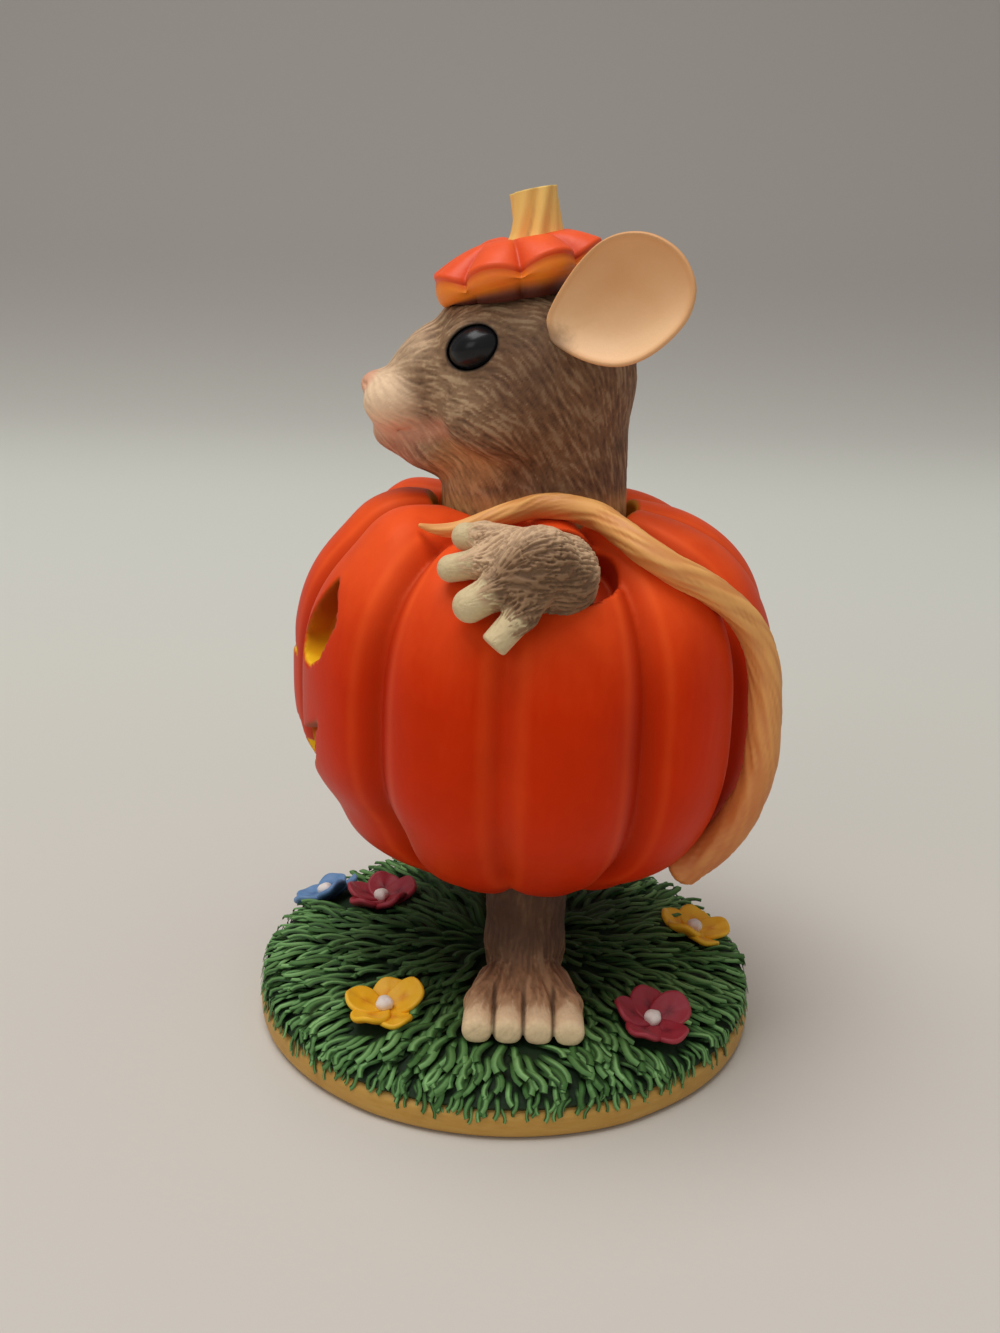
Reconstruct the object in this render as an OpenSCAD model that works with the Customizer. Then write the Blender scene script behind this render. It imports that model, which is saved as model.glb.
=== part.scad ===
// Cast resin ornament: a mouse dressed in a carved pumpkin, on a grassy plinth.
// Millimetres, Z up, origin at the middle of the plinth's underside.
// The mouse faces -Y and its left side is +X.

/* [Plinth and turf] */
// Diameter of the round plinth
plinth_d = 59; // [56:0.5:64]
// Height of the plinth's plain rim
plinth_h = 3.5; // [2.5:0.1:5]
// Rounding of the rim's two edges
rim_round = 1.1; // [0.4:0.1:1.2]
// Rise of the turf's dome above the plinth
turf_h = 5.2; // [4.6:0.1:6.4]
// How far the grass reaches out past the plinth
turf_overhang = 0.2; // [0:0.1:0.6]
// Height of the carved tufts of grass
blade_h = 0.8; // [0.4:0.1:1]
// Diameter of the boss that locates the turf
boss_d = 10; // [7:0.5:12]
// Height of that boss
boss_h = 1.2; // [0.8:0.1:1.4]

/* [Legs] */
// Distance between the middles of the legs
leg_spread = 18; // [17:0.5:20]
// Diameter of a leg where it enters the pumpkin
leg_d = 9.6; // [8.6:0.1:10.4]
// Length of a leg that shows, from the sole to the pumpkin
leg_h = 11.6; // [10:0.1:14]
// Length of a leg that is held inside the pumpkin
leg_insert = 4; // [3:0.1:6]
// Reach of the toes from the middle of the leg
foot_reach = 14.3; // [13:0.1:15.5]
// Width across the four toes
foot_w = 13; // [12:0.1:14]
// Diameter of a toe
toe_d = 3.4; // [3:0.1:3.6]
// Diameter of the peg under each foot
foot_peg_d = 3; // [2:0.1:4]
// Length of that peg
foot_peg_l = 2.6; // [2:0.1:2.8]

/* [Pumpkin] */
// Diameter over the crests of the lobes
pumpkin_d = 54.4; // [52:0.2:58]
// Height of the pumpkin
pumpkin_h = 44; // [42:0.2:48]
// Depth of the grooves between the lobes
groove_depth = 2; // [1:0.1:2.6]
// Distance of the body behind the middle of the plinth
body_y = 2.2; // [1:0.1:3]

/* [Carved face] */
// Depth of the carved openings
carve_depth = 3; // [2:0.1:4]
// Width of an eye opening
eye_hole_w = 7.2; // [6:0.1:9]
// Height of an eye opening
eye_hole_h = 9.8; // [8:0.1:11]
// Width of the nose opening
nose_hole_w = 8.4; // [6:0.1:9]
// Height of the nose opening
nose_hole_h = 5; // [4:0.1:6]
// Width of the mouth opening
mouth_w = 31; // [26:0.5:34]
// Height of the mouth opening from its corners to its lowest point
mouth_h = 10; // [8:0.1:12]

/* [Collar] */
// Width of the neck opening
collar_d = 17.2; // [16.6:0.1:18]
// Depth of the neck opening
collar_depth = 4.6; // [3.5:0.1:6]
// Distance of the neck behind the pumpkin's axis
neck_back = 2.2; // [1.8:0.1:2.6]
// Width of the neck
neck_d = 15.4; // [14.6:0.1:16]
// How far the oval of the neck reaches forwards
neck_reach = 6.2; // [5:0.2:7]
// Diameter of the peg under the neck
neck_peg_d = 8; // [6:0.5:10]
// Length of that peg
neck_peg_l = 5; // [3:0.5:7]

/* [Head] */
// Length of the head from the nose to the nape
head_l = 29.8; // [28.6:0.1:31]
// Height of the skull's middle above the pumpkin
head_rise = 14; // [13.4:0.1:15]
// Diameter of an eye bead
eye_d = 5.3; // [4.6:0.1:5.8]

/* [Ears] */
// Length of an ear as a share of the head's length
ear_l_share = 0.52; // [0.48:0.01:0.55]
// Width of an ear as a share of the head's length
ear_w_share = 0.44; // [0.4:0.01:0.47]
// Thickness of an ear's rim
ear_t = 0.9; // [0.7:0.1:1.1]
// Depth of the hollow in an ear
ear_cup = 2.2; // [1.4:0.1:2.8]
// Diameter of the root that plugs into the head
ear_root_d = 3; // [2.4:0.1:3.4]
// Length of that root
ear_root_l = 5; // [4.4:0.1:5.6]

/* [Hat] */
// Diameter of the pumpkin lid worn as a hat, as a share of the head's length
lid_share = 0.63; // [0.57:0.01:0.67]
// Height of the lid at its edge
lid_edge_h = 3.4; // [2.8:0.1:3.8]
// Height of the lid in its middle
lid_h = 5.3; // [4.8:0.1:5.8]
// Forward tilt of the lid in degrees
lid_tilt = 9.5; // [4:0.5:12]
// Diameter of the peg under the lid
lid_peg_d = 4; // [3:0.1:5]
// Length of that peg
lid_peg_l = 3; // [2:0.1:4]
// Diameter of the stem
stem_d = 5.7; // [4.6:0.1:6.2]
// Height of the stem
stem_h = 5.7; // [4.6:0.1:7]
// Diameter of the peg under the stem
stem_peg_d = 2; // [1.4:0.1:2.4]
// Length of that peg
stem_peg_l = 1.6; // [1:0.1:2]

/* [Arms] */
// Diameter of the sleeve hole in the shoulder
sleeve_d = 11.8; // [11.2:0.1:12.6]
// Depth of that hole
sleeve_depth = 6; // [5:0.1:7]
// Diameter of the arm
arm_d = 9; // [8.2:0.1:9.4]
// Diameter of the paw at its knuckles
knuckle_d = 4.6; // [4.2:0.1:5]
// Diameter of a finger
finger_d = 3.2; // [2.8:0.1:3.4]
// How far the arm lies below the middle of its sleeve hole
arm_drop = 0.9; // [0.4:0.1:1]
// Height of the paw above the pumpkin's skin
paw_lift = 0.5; // [0.4:0.05:0.8]
// Diameter of the peg at the end of the arm
arm_peg_d = 3; // [2:0.1:4]
// Length of that peg
arm_peg_l = 3; // [2:0.1:4]

/* [Tail] */
// Diameter of the tail at its root
tail_d = 3.6; // [3:0.1:4]
// Diameter of the peg at the tail's root
tail_peg_d = 1.8; // [1.2:0.1:2.2]
// Length of that peg
tail_peg_l = 5; // [4:0.1:6]

/* [Flowers] */
// Diameter of a flower
flower_d = 8; // [7:0.1:9]
// Thickness of a petal
petal_t = 0.9; // [0.6:0.1:1.2]
// Diameter of a flower's centre
centre_d = 2.2; // [1.6:0.1:2.6]
// Height of a flower's centre
centre_h = 0.8; // [0.5:0.1:1]
// Diameter of a flower's stalk
stalk_d = 1.4; // [1:0.1:2]
// Length of that stalk
stalk_l = 1.5; // [1:0.1:1.8]

/* [Fits] */
// Clearance between a piece and the seat that holds it
seat_gap = 0.15; // [0.1:0.01:0.25]

/* [Hidden] */

// Overrun of every cut
cut = 1;
round_fn = 48;
form_fn = 12;

// Turf: radius, the squareness of its dome, and how high the soles stand in it
turf_r = plinth_d / 2 + turf_overhang;
turf_power = 3.2;
turf_columns = 120;
turf_ring_shares = [0.985, 0.95, 0.9, 0.82, 0.73, 0.62, 0.5, 0.37, 0.2];
turf_sway_angle = 3;
turf_sway_step_angle = 65;
turf_edge_share = 0.14;
sole_share = 0.77;
sole_z = plinth_h + sole_share * turf_h;

// Pumpkin: its levels, the squareness of its two halves and its grooves
pumpkin_r = pumpkin_d / 2;
belly_share = 0.5;
belly_h = belly_share * pumpkin_h;
crown_h = pumpkin_h - belly_h;
pumpkin_low_z = sole_z + leg_h;
pumpkin_z = pumpkin_low_z + belly_h;
pumpkin_top_z = pumpkin_z + crown_h;
crown_power = 2.9;
belly_power = 2.4;
groove_angles = [-75, -38, -7, 26, 56, 86, 117, 148, 180, 215, 254, 285];
lobe_step_count = 6;
lobe_power = 2.5;
pumpkin_ring_angles = [-82, -72, -62, -52, -43, -34, -25, -17, -9, -3,
    3, 9, 17, 25, 34, 43, 52, 62, 72, 82];

// Carved face: where each opening lies, as angles round and up the pumpkin
eye_hole_angles = [-60, 20];
nose_hole_angles = [-90, 9];
mouth_angle = -9.5;
eye_hole_shares = [[-0.5, -0.22], [-0.36, -0.44], [-0.02, -0.5], [0.3, -0.36], [0.5, 0.04],
    [0.4, 0.22], [0.06, 0.5]];
nose_hole_shares = [[-0.5, -0.4], [0, -0.5], [0.5, -0.4], [0, 0.5]];
mouth_shares = [[0.5, 0.5], [0.37, 0.28], [0.26, 0.19], [0.245, -0.08], [0.135, -0.14],
    [0.12, 0.11]];
chin_shares = [[0.065, -0.18], [0.08, -0.5], [0.2, -0.44], [0.34, -0.26], [0.44, 0.02]];

// Collar and head
neck_y = body_y + neck_back;
collar_z = pumpkin_top_z - collar_depth;
skull_y_share = -0.007;
skull_at = [0, body_y + skull_y_share * head_l, pumpkin_top_z + head_rise];
// Each form of the head: its middle and its radii as shares of the head's length
head_form_shares = [
    [[0, 0, 0], [0.325, 0.338, 0.318]],
    [[0.165, -0.12, -0.15], [0.155, 0.235, 0.175]],
    [[-0.165, -0.12, -0.15], [0.155, 0.235, 0.175]],
    [[0, -0.26, -0.03], [0.205, 0.27, 0.205]],
    [[0, -0.3, -0.105], [0.15, 0.335, 0.15]],
    [[0, -0.49, -0.165], [0.138, 0.155, 0.135]],
    [[0, -0.2, -0.24], [0.17, 0.29, 0.2]],
    [[0, 0.066, -0.25], [0.266, 0.283, 0.5]],
    [[0, -0.11, -0.3], [0.25, 0.225, 0.3]]
];
head_middle_share = [0, -0.117, -0.1];
head_blend_power = 14;
neck_top_share = 0.5;
neck_front_share = 0.9;
head_columns = 32;
head_angles = [10, 20, 31, 42, 53, 64, 75, 86, 97, 108, 119, 130, 140, 149, 157, 164, 170, 175];
eye_at_share = [0.188, -0.225, 0.081];

// Ears: their size, the middle of the left ear, how it is turned, how much narrower its root end is,
// and how far back and down the right ear sits from the left one's mirror image
ear_l = ear_l_share * head_l;
ear_w = ear_w_share * head_l;
ear_at_share = [0.389, 0.232, 0.252];
ear_angles = [83, -32, 74];
ear_leaf_share = 0.22;
right_ear_shift_share = [0, 0.06, -0.045];
ear_root_share = 0.38;
ear_root_sink_share = 0.5;
ear_columns = 24;

// Hat: the seat on the crown, the lid's lobes, and its rings: radius, part of the edge's height,
// part of the rise above the edge, and how far the rings dip between the lobes
lid_d = lid_share * head_l;
lid_at_share = [0, -0.094, 0.245];
lid_lobe_count = 8;
lid_lobe_step_count = 6;
lid_scallop_share = 0.12;
lid_ring_shares = [[0.85, 0, 0, 0], [0.95, 0.75, 0, 2], [1, 0.85, 0, 2], [0.99, 1, 0.2, 2],
    [0.86, 1, 0.6, 2], [0.6, 1, 0.85, 2], [0.42, 1, 1, 0]];
stem_ridge_count = 7;
stem_ridge_share = 0.12;
stem_twist_angle = 50;
stem_top_share = 0.92;
stem_back_share = 0.12;

// Arms: the sleeve hole, the knuckles and the fingertips as angles on the pumpkin
sleeve_angles = [6, 52];
wrist_angles = [0, 45.5];
finger_angles = [
    [[-14, 55], [-22, 57]],
    [[-11, 48.5], [-23, 46.5]],
    [[-7, 41.5], [-16.5, 34.5]],
    [[-2, 37], [-8, 26]]
];

// Tail: its route as angles round and up the pumpkin, and its thickness as shares of its root
tail_angles = [
    [52, -43], [53.5, -36], [55.5, -24], [57, -12], [57.5, -4], [57.5, 3], [57, 10], [55, 20],
    [50.5, 29], [44, 37.5], [37, 45], [31.5, 53.5], [28.5, 63], [25, 71], [13, 76],
    [-3, 76], [-14, 72], [-22, 68.5], [-30, 62.5], [-38, 57]
];
tail_thickness_shares = [1, 1, 0.97, 0.94, 0.92, 0.9, 0.88, 0.86, 0.85, 0.84, 0.82, 0.8, 0.78,
    0.75, 0.72, 0.68, 0.62, 0.52, 0.38, 0.16];
tail_step_count = 3;
tail_side_count = 8;

// Flowers: distance from the middle as a share of the turf, and angle round it
flower_reach_shares = [0.905, 0.6, 0.72, 0.8, 0.8];
flower_angles = [-119, -117, -38, 44, 101];
petal_count = 5;
petal_share = 0.27;
petal_tilt_angle = 12;
hub_share = 1.35;

// Power of a number that keeps its sign
function signed_pow(v, e) = sign(v) * pow(abs(v), e);

// Closed skin through a stack of rings, with one point at each end
module ring_skin(first, rings, last) {
    n = len(rings[0]);
    m = len(rings);
    points = concat([first], [for (ring = rings) each ring], [last]);
    function at(j, i) = 1 + j * n + i % n;
    low_faces = [for (i = [0 : n - 1]) [0, at(0, i), at(0, i + 1)]];
    side_faces = [for (j = [0 : m - 2], i = [0 : n - 1]) each [
        [at(j, i), at(j + 1, i), at(j + 1, i + 1)],
        [at(j, i), at(j + 1, i + 1), at(j, i + 1)]
    ]];
    top_faces = [for (i = [0 : n - 1]) [len(points) - 1, at(m - 1, i + 1), at(m - 1, i)]];
    polyhedron(points, concat(low_faces, side_faces, top_faces));
}

// Straight round rod from one point to another
module rod(from, to, r) {
    way = to - from;
    translate(from)
        rotate([0, acos(way[2] / norm(way)), atan2(way[1], way[0])])
            cylinder(r = r, h = norm(way), $fn = round_fn);
}

// Height and slope of the turf's dome at a distance from its middle
function turf_fill(r) = pow(r / turf_r, turf_power);
function turf_z(r) = plinth_h + turf_h * sqrt(1 - turf_fill(r));
function turf_slope(r) = atan(turf_h * turf_power * turf_fill(r) / (2 * r * sqrt(1 - turf_fill(r))));

// Moves its children to one flower's spot, square to the turf there
module at_flower(index) {
    r = flower_reach_shares[index] * turf_r;
    rotate([0, 0, flower_angles[index]])
        translate([r, 0, turf_z(r)])
            rotate([0, turf_slope(r), 0])
                children();
}

// Pumpkin's outline: distance from its axis and height at a latitude
function half_h(t) = t > 0 ? crown_h : belly_h;
function half_power(t) = t > 0 ? crown_power : belly_power;
function outline(t) = [
    pumpkin_r * pow(cos(t), 2 / half_power(t)),
    half_h(t) * signed_pow(sin(t), 2 / half_power(t))
];

// Direction square to that outline
function outline_normal(t) =
    let (p = outline(t), e = half_power(t) - 1)
    let (g = [pow(p[0] / pumpkin_r, e) / pumpkin_r, signed_pow(p[1] / half_h(t), e) / half_h(t)])
    g / norm(g);

// Point at an angle round the pumpkin and a latitude, a distance out from its crests
function on_pumpkin(az, t, out) =
    let (p = outline(t) + out * outline_normal(t))
    [p[0] * cos(az), p[0] * sin(az) + body_y, p[1] + pumpkin_z];
function pumpkin_normal(az, t) =
    let (n = outline_normal(t)) [n[0] * cos(az), n[0] * sin(az), n[1]];
function pumpkin_up(az, t) =
    let (n = outline_normal(t)) [-n[1] * cos(az), -n[1] * sin(az), n[0]];

// Moves its children to the pumpkin's skin, with Z outwards and Y up the skin
module at_skin(az, t) {
    n = outline_normal(t);
    translate(on_pumpkin(az, t, 0))
        rotate([0, atan2(n[0], n[1]), az])
            rotate([0, 0, 90])
                children();
}

// Pumpkin with its lobes, before anything is carved
module pumpkin_form() {
    lobes = len(groove_angles) - 1;
    spots = [for (lobe = [0 : lobes - 1], k = [0 : lobe_step_count - 1])
        let (share = k / lobe_step_count)
        [groove_angles[lobe] * (1 - share) + groove_angles[lobe + 1] * share,
            -groove_depth * pow(abs(2 * share - 1), lobe_power)]];
    rings = [for (t = pumpkin_ring_angles)
        let (fade = min(1, 3 * cos(t)))
        [for (spot = spots) on_pumpkin(spot[0], t, fade * spot[1])]];
    ring_skin(on_pumpkin(0, -90, 0), rings, on_pumpkin(0, 90, 0));
}

// Carved eye on one side: the outline is drawn as seen from outside
module eye_hole(side) {
    turn = -90 + side * (eye_hole_angles[0] + 90);
    at_skin(turn, eye_hole_angles[1])
        translate([0, 0, -carve_depth])
            linear_extrude(carve_depth + cut + groove_depth)
                polygon([for (p = eye_hole_shares) [side * p[0] * eye_hole_w, p[1] * eye_hole_h]]);
}

module nose_hole() {
    at_skin(nose_hole_angles[0], nose_hole_angles[1])
        translate([0, 0, -carve_depth])
            linear_extrude(carve_depth + cut + groove_depth)
                polygon([for (p = nose_hole_shares) [p[0] * nose_hole_w, p[1] * nose_hole_h]]);
}

// Grinning mouth with two upper teeth and one lower tooth, cut to an even depth
module mouth_hole() {
    function back_to_front(list) = [for (i = [len(list) - 1 : -1 : 0]) list[i]];
    function mirrored(list) = [for (p = list) [-p[0], p[1]]];
    lips = concat(mouth_shares, back_to_front(mirrored(mouth_shares)));
    grin = concat(lips, back_to_front(mirrored(chin_shares)), chin_shares);
    floor_r = pumpkin_r - carve_depth;
    middle = on_pumpkin(-90, mouth_angle, 0);
    difference() {
        translate([0, middle[1] + pumpkin_r, middle[2]])
            rotate([90, 0, 0])
                linear_extrude(pumpkin_r + cut)
                    polygon([for (p = grin) [p[0] * mouth_w, p[1] * mouth_h]]);
        translate([0, body_y, middle[2] - mouth_h])
            cylinder(r = floor_r, h = 2 * mouth_h, $fn = round_fn);
    }
}

// Middle of one leg
function leg_x(side) = side * leg_spread / 2;

// Moves its children to the left or the right side of the figure
module on_side(side) {
    mirror([side < 0 ? 1 : 0, 0, 0])
        children();
}

// Sleeve hole with the bore for the arm's peg
module sleeve_hole() {
    at_skin(sleeve_angles[0], sleeve_angles[1]) {
        translate([0, 0, -sleeve_depth])
            cylinder(d = sleeve_d, h = sleeve_depth + sleeve_d, $fn = round_fn);
        translate([0, -arm_drop, -sleeve_depth - arm_peg_l - seat_gap])
            cylinder(d = arm_peg_d + 2 * seat_gap, h = arm_peg_l + cut, $fn = round_fn);
    }
}

// Start of the tail and the end of its peg inside the pumpkin
function tail_radius(share) = share * tail_d / 2;
tail_root = on_pumpkin(tail_angles[0][0], tail_angles[0][1], tail_radius(1) + seat_gap);
tail_inward = -pumpkin_normal(tail_angles[0][0], tail_angles[0][1]);

// Oval column that stands on the collar's floor, narrower towards the front
module neck_column(d, h) {
    translate([0, neck_y, collar_z])
        hull() {
            cylinder(d = d, h = h, $fn = round_fn);
            translate([0, -neck_reach, 0])
                cylinder(d = neck_front_share * d, h = h, $fn = round_fn);
        }
}

module pumpkin() {
    color("orangered")
        difference() {
            pumpkin_form();
            neck_column(collar_d, collar_depth + cut);
            translate([0, neck_y, collar_z - neck_peg_l - seat_gap])
                cylinder(d = neck_peg_d + 2 * seat_gap, h = neck_peg_l + cut, $fn = round_fn);
            for (side = [-1, 1]) {
                translate([leg_x(side), body_y, pumpkin_low_z - cut])
                    cylinder(d = leg_d + 2 * seat_gap, h = leg_insert + cut, $fn = round_fn);
                eye_hole(side);
                on_side(side)
                    sleeve_hole();
            }
            nose_hole();
            mouth_hole();
            rod(tail_root, tail_root + (tail_peg_l + seat_gap) * tail_inward, tail_peg_d / 2 + seat_gap);
        }
}

// Round disc with rounded edges and a boss on top
module plinth() {
    r = plinth_d / 2;
    arc = [for (a = [-90 : 15 : 90]) a];
    inset = r - rim_round;
    profile = concat([[0, 0]],
        [for (a = arc) if (a <= 0) [inset + rim_round * cos(a), rim_round * (1 + sin(a))]],
        [for (a = arc) if (a >= 0) [inset + rim_round * cos(a), plinth_h - rim_round * (1 - sin(a))]],
        [[0, plinth_h]]);
    color("goldenrod") {
        rotate_extrude($fn = 96)
            polygon(profile);
        translate([0, 0, plinth_h - cut])
            cylinder(d = boss_d, h = boss_h + cut, $fn = round_fn);
    }
}

// Domed mat of grass: tufts that sway as they run outwards, each two rings long, and a ragged edge
module turf_form() {
    function column(i, j) = i * 360 / turf_columns + turf_sway_angle * sin(j * turf_sway_step_angle);
    function spot(i, j, r, z) = [r * cos(column(i, j)), r * sin(column(i, j)), z];
    columns = [0 : turf_columns - 1];
    foot = [for (i = columns) spot(i, 0, turf_r - blade_h, plinth_h)];
    edge = [for (i = columns)
        spot(i, 0, turf_r - (i % 2) * blade_h, plinth_h + turf_edge_share * turf_h * (1 + i % 2))];
    tufts = [for (j = [0 : len(turf_ring_shares) - 1])
        let (r = turf_ring_shares[j] * turf_r)
        [for (i = columns) spot(i, j, r, turf_z(r) - (i + floor(j / 2)) % 2 * blade_h)]];
    ring_skin([0, 0, plinth_h], concat([foot, edge], tufts), [0, 0, turf_z(0)]);
}

// Plan of one foot, grown by a gap
module foot_plan(gap) {
    heel = leg_d / 2 + gap;
    tip = foot_reach + gap;
    half_w = foot_w / 2 + gap;
    polygon([[-heel, -heel], [-heel, heel], [tip - toe_d, half_w], [tip, half_w], [tip, -half_w],
        [tip - toe_d, -half_w]]);
}

module turf() {
    color("darkgreen")
        difference() {
            turf_form();
            translate([0, 0, plinth_h - cut])
                cylinder(d = boss_d + 2 * seat_gap, h = boss_h + seat_gap + cut, $fn = round_fn);
            for (side = [-1, 1]) {
                on_side(side)
                    translate([leg_x(1), body_y, sole_z])
                        linear_extrude(turf_h)
                            foot_plan(seat_gap);
                translate([leg_x(side), body_y, sole_z - foot_peg_l - seat_gap])
                    cylinder(d = foot_peg_d + 2 * seat_gap, h = foot_peg_l + cut, $fn = round_fn);
            }
            for (index = [0 : len(flower_angles) - 1])
                at_flower(index) {
                    cylinder(d = flower_d + 2 * seat_gap, h = turf_h, $fn = round_fn);
                    translate([0, 0, -stalk_l - seat_gap])
                        cylinder(d = stalk_d + 2 * seat_gap, h = stalk_l + cut, $fn = round_fn);
                }
        }
}

// Two balls joined by a smooth limb
module limb(from, from_d, to, to_d) {
    hull() {
        translate(from)
            sphere(d = from_d, $fn = form_fn);
        translate(to)
            sphere(d = to_d, $fn = form_fn);
    }
}

// Left leg: column, instep and four toes, flat under the sole
module leg_form() {
    ball_d = foot_w / 3;
    knuckle_x = foot_reach - 1.6 * toe_d;
    function toe_y(i) = (foot_w - toe_d) * (i / 3 - 0.5);
    ankle = [0.08 * leg_d, 0, 0.5 * leg_h];
    instep = [0.45 * foot_reach, 0, ball_d / 2];
    difference() {
        union() {
            limb([0, 0, leg_h - leg_d / 2], leg_d, ankle, 0.92 * leg_d);
            limb(ankle, 0.92 * leg_d, instep, 1.1 * ball_d);
            limb([0, 0, 0.3 * leg_h], 0.8 * leg_d, ankle, 0.92 * leg_d);
            for (i = [0 : 3]) {
                knuckle = [knuckle_x, toe_y(i), 0.62 * toe_d];
                limb([instep[0], 0.6 * toe_y(i), instep[2]], ball_d, knuckle, 1.05 * toe_d);
                limb(knuckle, 1.05 * toe_d, [foot_reach - toe_d / 2, toe_y(i), toe_d / 3], toe_d);
            }
            translate([0, 0, leg_h - leg_d / 2])
                cylinder(d = leg_d, h = leg_insert + leg_d / 2, $fn = round_fn);
        }
        translate([-2 * foot_reach, -foot_w, -2 * leg_d])
            cube([4 * foot_reach, 2 * foot_w, 2 * leg_d]);
    }
    translate([0, 0, -foot_peg_l])
        cylinder(d = foot_peg_d, h = foot_peg_l + cut, $fn = round_fn);
}

module leg(side) {
    color("tan")
        on_side(side)
            translate([leg_x(1), body_y, sole_z])
                leg_form();
}

module left_leg() {
    leg(1);
}

module right_leg() {
    leg(-1);
}

// Distance along a ray from inside a form to its far side, or zero if it misses
function ray_exit(d, middle, radii) =
    let (a = [d[0] / radii[0], d[1] / radii[1], d[2] / radii[2]])
    let (b = [-middle[0] / radii[0], -middle[1] / radii[1], -middle[2] / radii[2]])
    let (under_root = pow(a * b, 2) - (a * a) * (b * b - 1))
    under_root < 0 ? 0 : max(0, (sqrt(under_root) - a * b) / (a * a));

// Reach of the head in one direction: all its forms, blended smoothly
function head_reach(d) =
    let (reaches = [for (form = head_form_shares) ray_exit(d, form[0] - head_middle_share, form[1])])
    let (powers = [for (reach = reaches) pow(reach, head_blend_power)])
    head_l * pow(powers * [for (p = powers) 1], 1 / head_blend_power);

module head_form() {
    middle = skull_at + head_l * head_middle_share;
    rings = [for (a = head_angles)
        [for (i = [0 : head_columns - 1])
            let (turn = i * 360 / head_columns)
            let (d = [sin(a) * cos(turn), cos(a), sin(a) * sin(turn)])
            middle + head_reach(d) * d]];
    back = [0, 1, 0];
    ring_skin(middle + head_reach(back) * back, rings, middle - head_reach(-back) * back);
}

// Seat of the lid on the crown, tilted forwards
module at_lid() {
    translate(skull_at + head_l * lid_at_share)
        rotate([lid_tilt, 0, 0])
            children();
}

// A direction after the three turns of rotate()
function turned(v, turn) =
    let (y = v[1] * cos(turn[0]) - v[2] * sin(turn[0]), z = v[1] * sin(turn[0]) + v[2] * cos(turn[0]))
    let (x = v[0] * cos(turn[1]) + z * sin(turn[1]))
    [x * cos(turn[2]) - y * sin(turn[2]), x * sin(turn[2]) + y * cos(turn[2]),
        z * cos(turn[1]) - v[0] * sin(turn[1])];

// Left ear's middle, the point at its back where its root starts and the root's direction
ear_at = skull_at + head_l * ear_at_share;
ear_root_depth = ear_root_sink_share * ear_cup + ear_t;
ear_root_at = ear_at + turned([-ear_root_share * ear_l, 0, -ear_root_depth], ear_angles);
ear_root_way = (skull_at - ear_root_at) / norm(skull_at - ear_root_at);

// Moves its children to one ear's place on the head
module at_ear(side) {
    translate(side < 0 ? head_l * right_ear_shift_share : [0, 0, 0])
        on_side(side)
            children();
}

module eye_place() {
    translate(skull_at + head_l * eye_at_share)
        children();
}

module head() {
    neck_top = neck_top_share * (skull_at[2] - collar_z);
    color("dimgray") {
        difference() {
            union() {
                head_form();
                neck_column(neck_d, neck_top);
            }
            translate([0, neck_y, collar_z - head_l])
                cylinder(d = 2 * head_l, h = head_l, $fn = round_fn);
            at_lid() {
                cylinder(d = lid_d, h = head_l / 2, $fn = round_fn);
                translate([0, 0, -lid_peg_l - seat_gap])
                    cylinder(d = lid_peg_d + 2 * seat_gap, h = lid_peg_l + cut, $fn = round_fn);
            }
            for (side = [-1, 1]) {
                on_side(side)
                    eye_place()
                        sphere(d = eye_d + 2 * seat_gap, $fn = round_fn);
                at_ear(side)
                    rod(ear_root_at, ear_root_at + (ear_root_l + seat_gap) * ear_root_way,
                        ear_root_d / 2 + seat_gap);
            }
        }
        translate([0, neck_y, collar_z - neck_peg_l])
            cylinder(d = neck_peg_d, h = neck_peg_l + cut, $fn = round_fn);
    }
}

// Cupped ear: back skin, rim and hollow front, with the root that plugs into the head
module ear_form() {
    front_shares = [0.94, 0.78, 0.56, 0.3];
    back_shares = [0.35, 0.65, 0.88];
    function ear_ring(share, z) = [for (i = [0 : ear_columns - 1])
        let (turn = i * 360 / ear_columns)
        let (half_w = ear_w / 2 * (1 + ear_leaf_share * (cos(turn) - 0.5)))
        [share * ear_l / 2 * cos(turn), share * half_w * sin(turn), z]];
    function hollow(share) = -ear_cup * (1 - share * share);
    rings = concat(
        [for (share = back_shares) ear_ring(share, hollow(share) - ear_t)],
        [ear_ring(1, -ear_t / 2)],
        [for (share = front_shares) ear_ring(share, hollow(share))]);
    ring_skin([0, 0, hollow(0) - ear_t], rings, [0, 0, hollow(0)]);
}

module ear(side) {
    color("peru")
        at_ear(side) {
            translate(ear_at)
                rotate(ear_angles)
                    ear_form();
            rod(ear_root_at, ear_root_at + ear_root_l * ear_root_way, ear_root_d / 2);
        }
}

module left_ear() {
    ear(1);
}

module right_ear() {
    ear(-1);
}

module eye_bead(side) {
    color("black")
        on_side(side)
            eye_place()
                sphere(d = eye_d, $fn = round_fn);
}

module left_eye() {
    eye_bead(1);
}

module right_eye() {
    eye_bead(-1);
}

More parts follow.
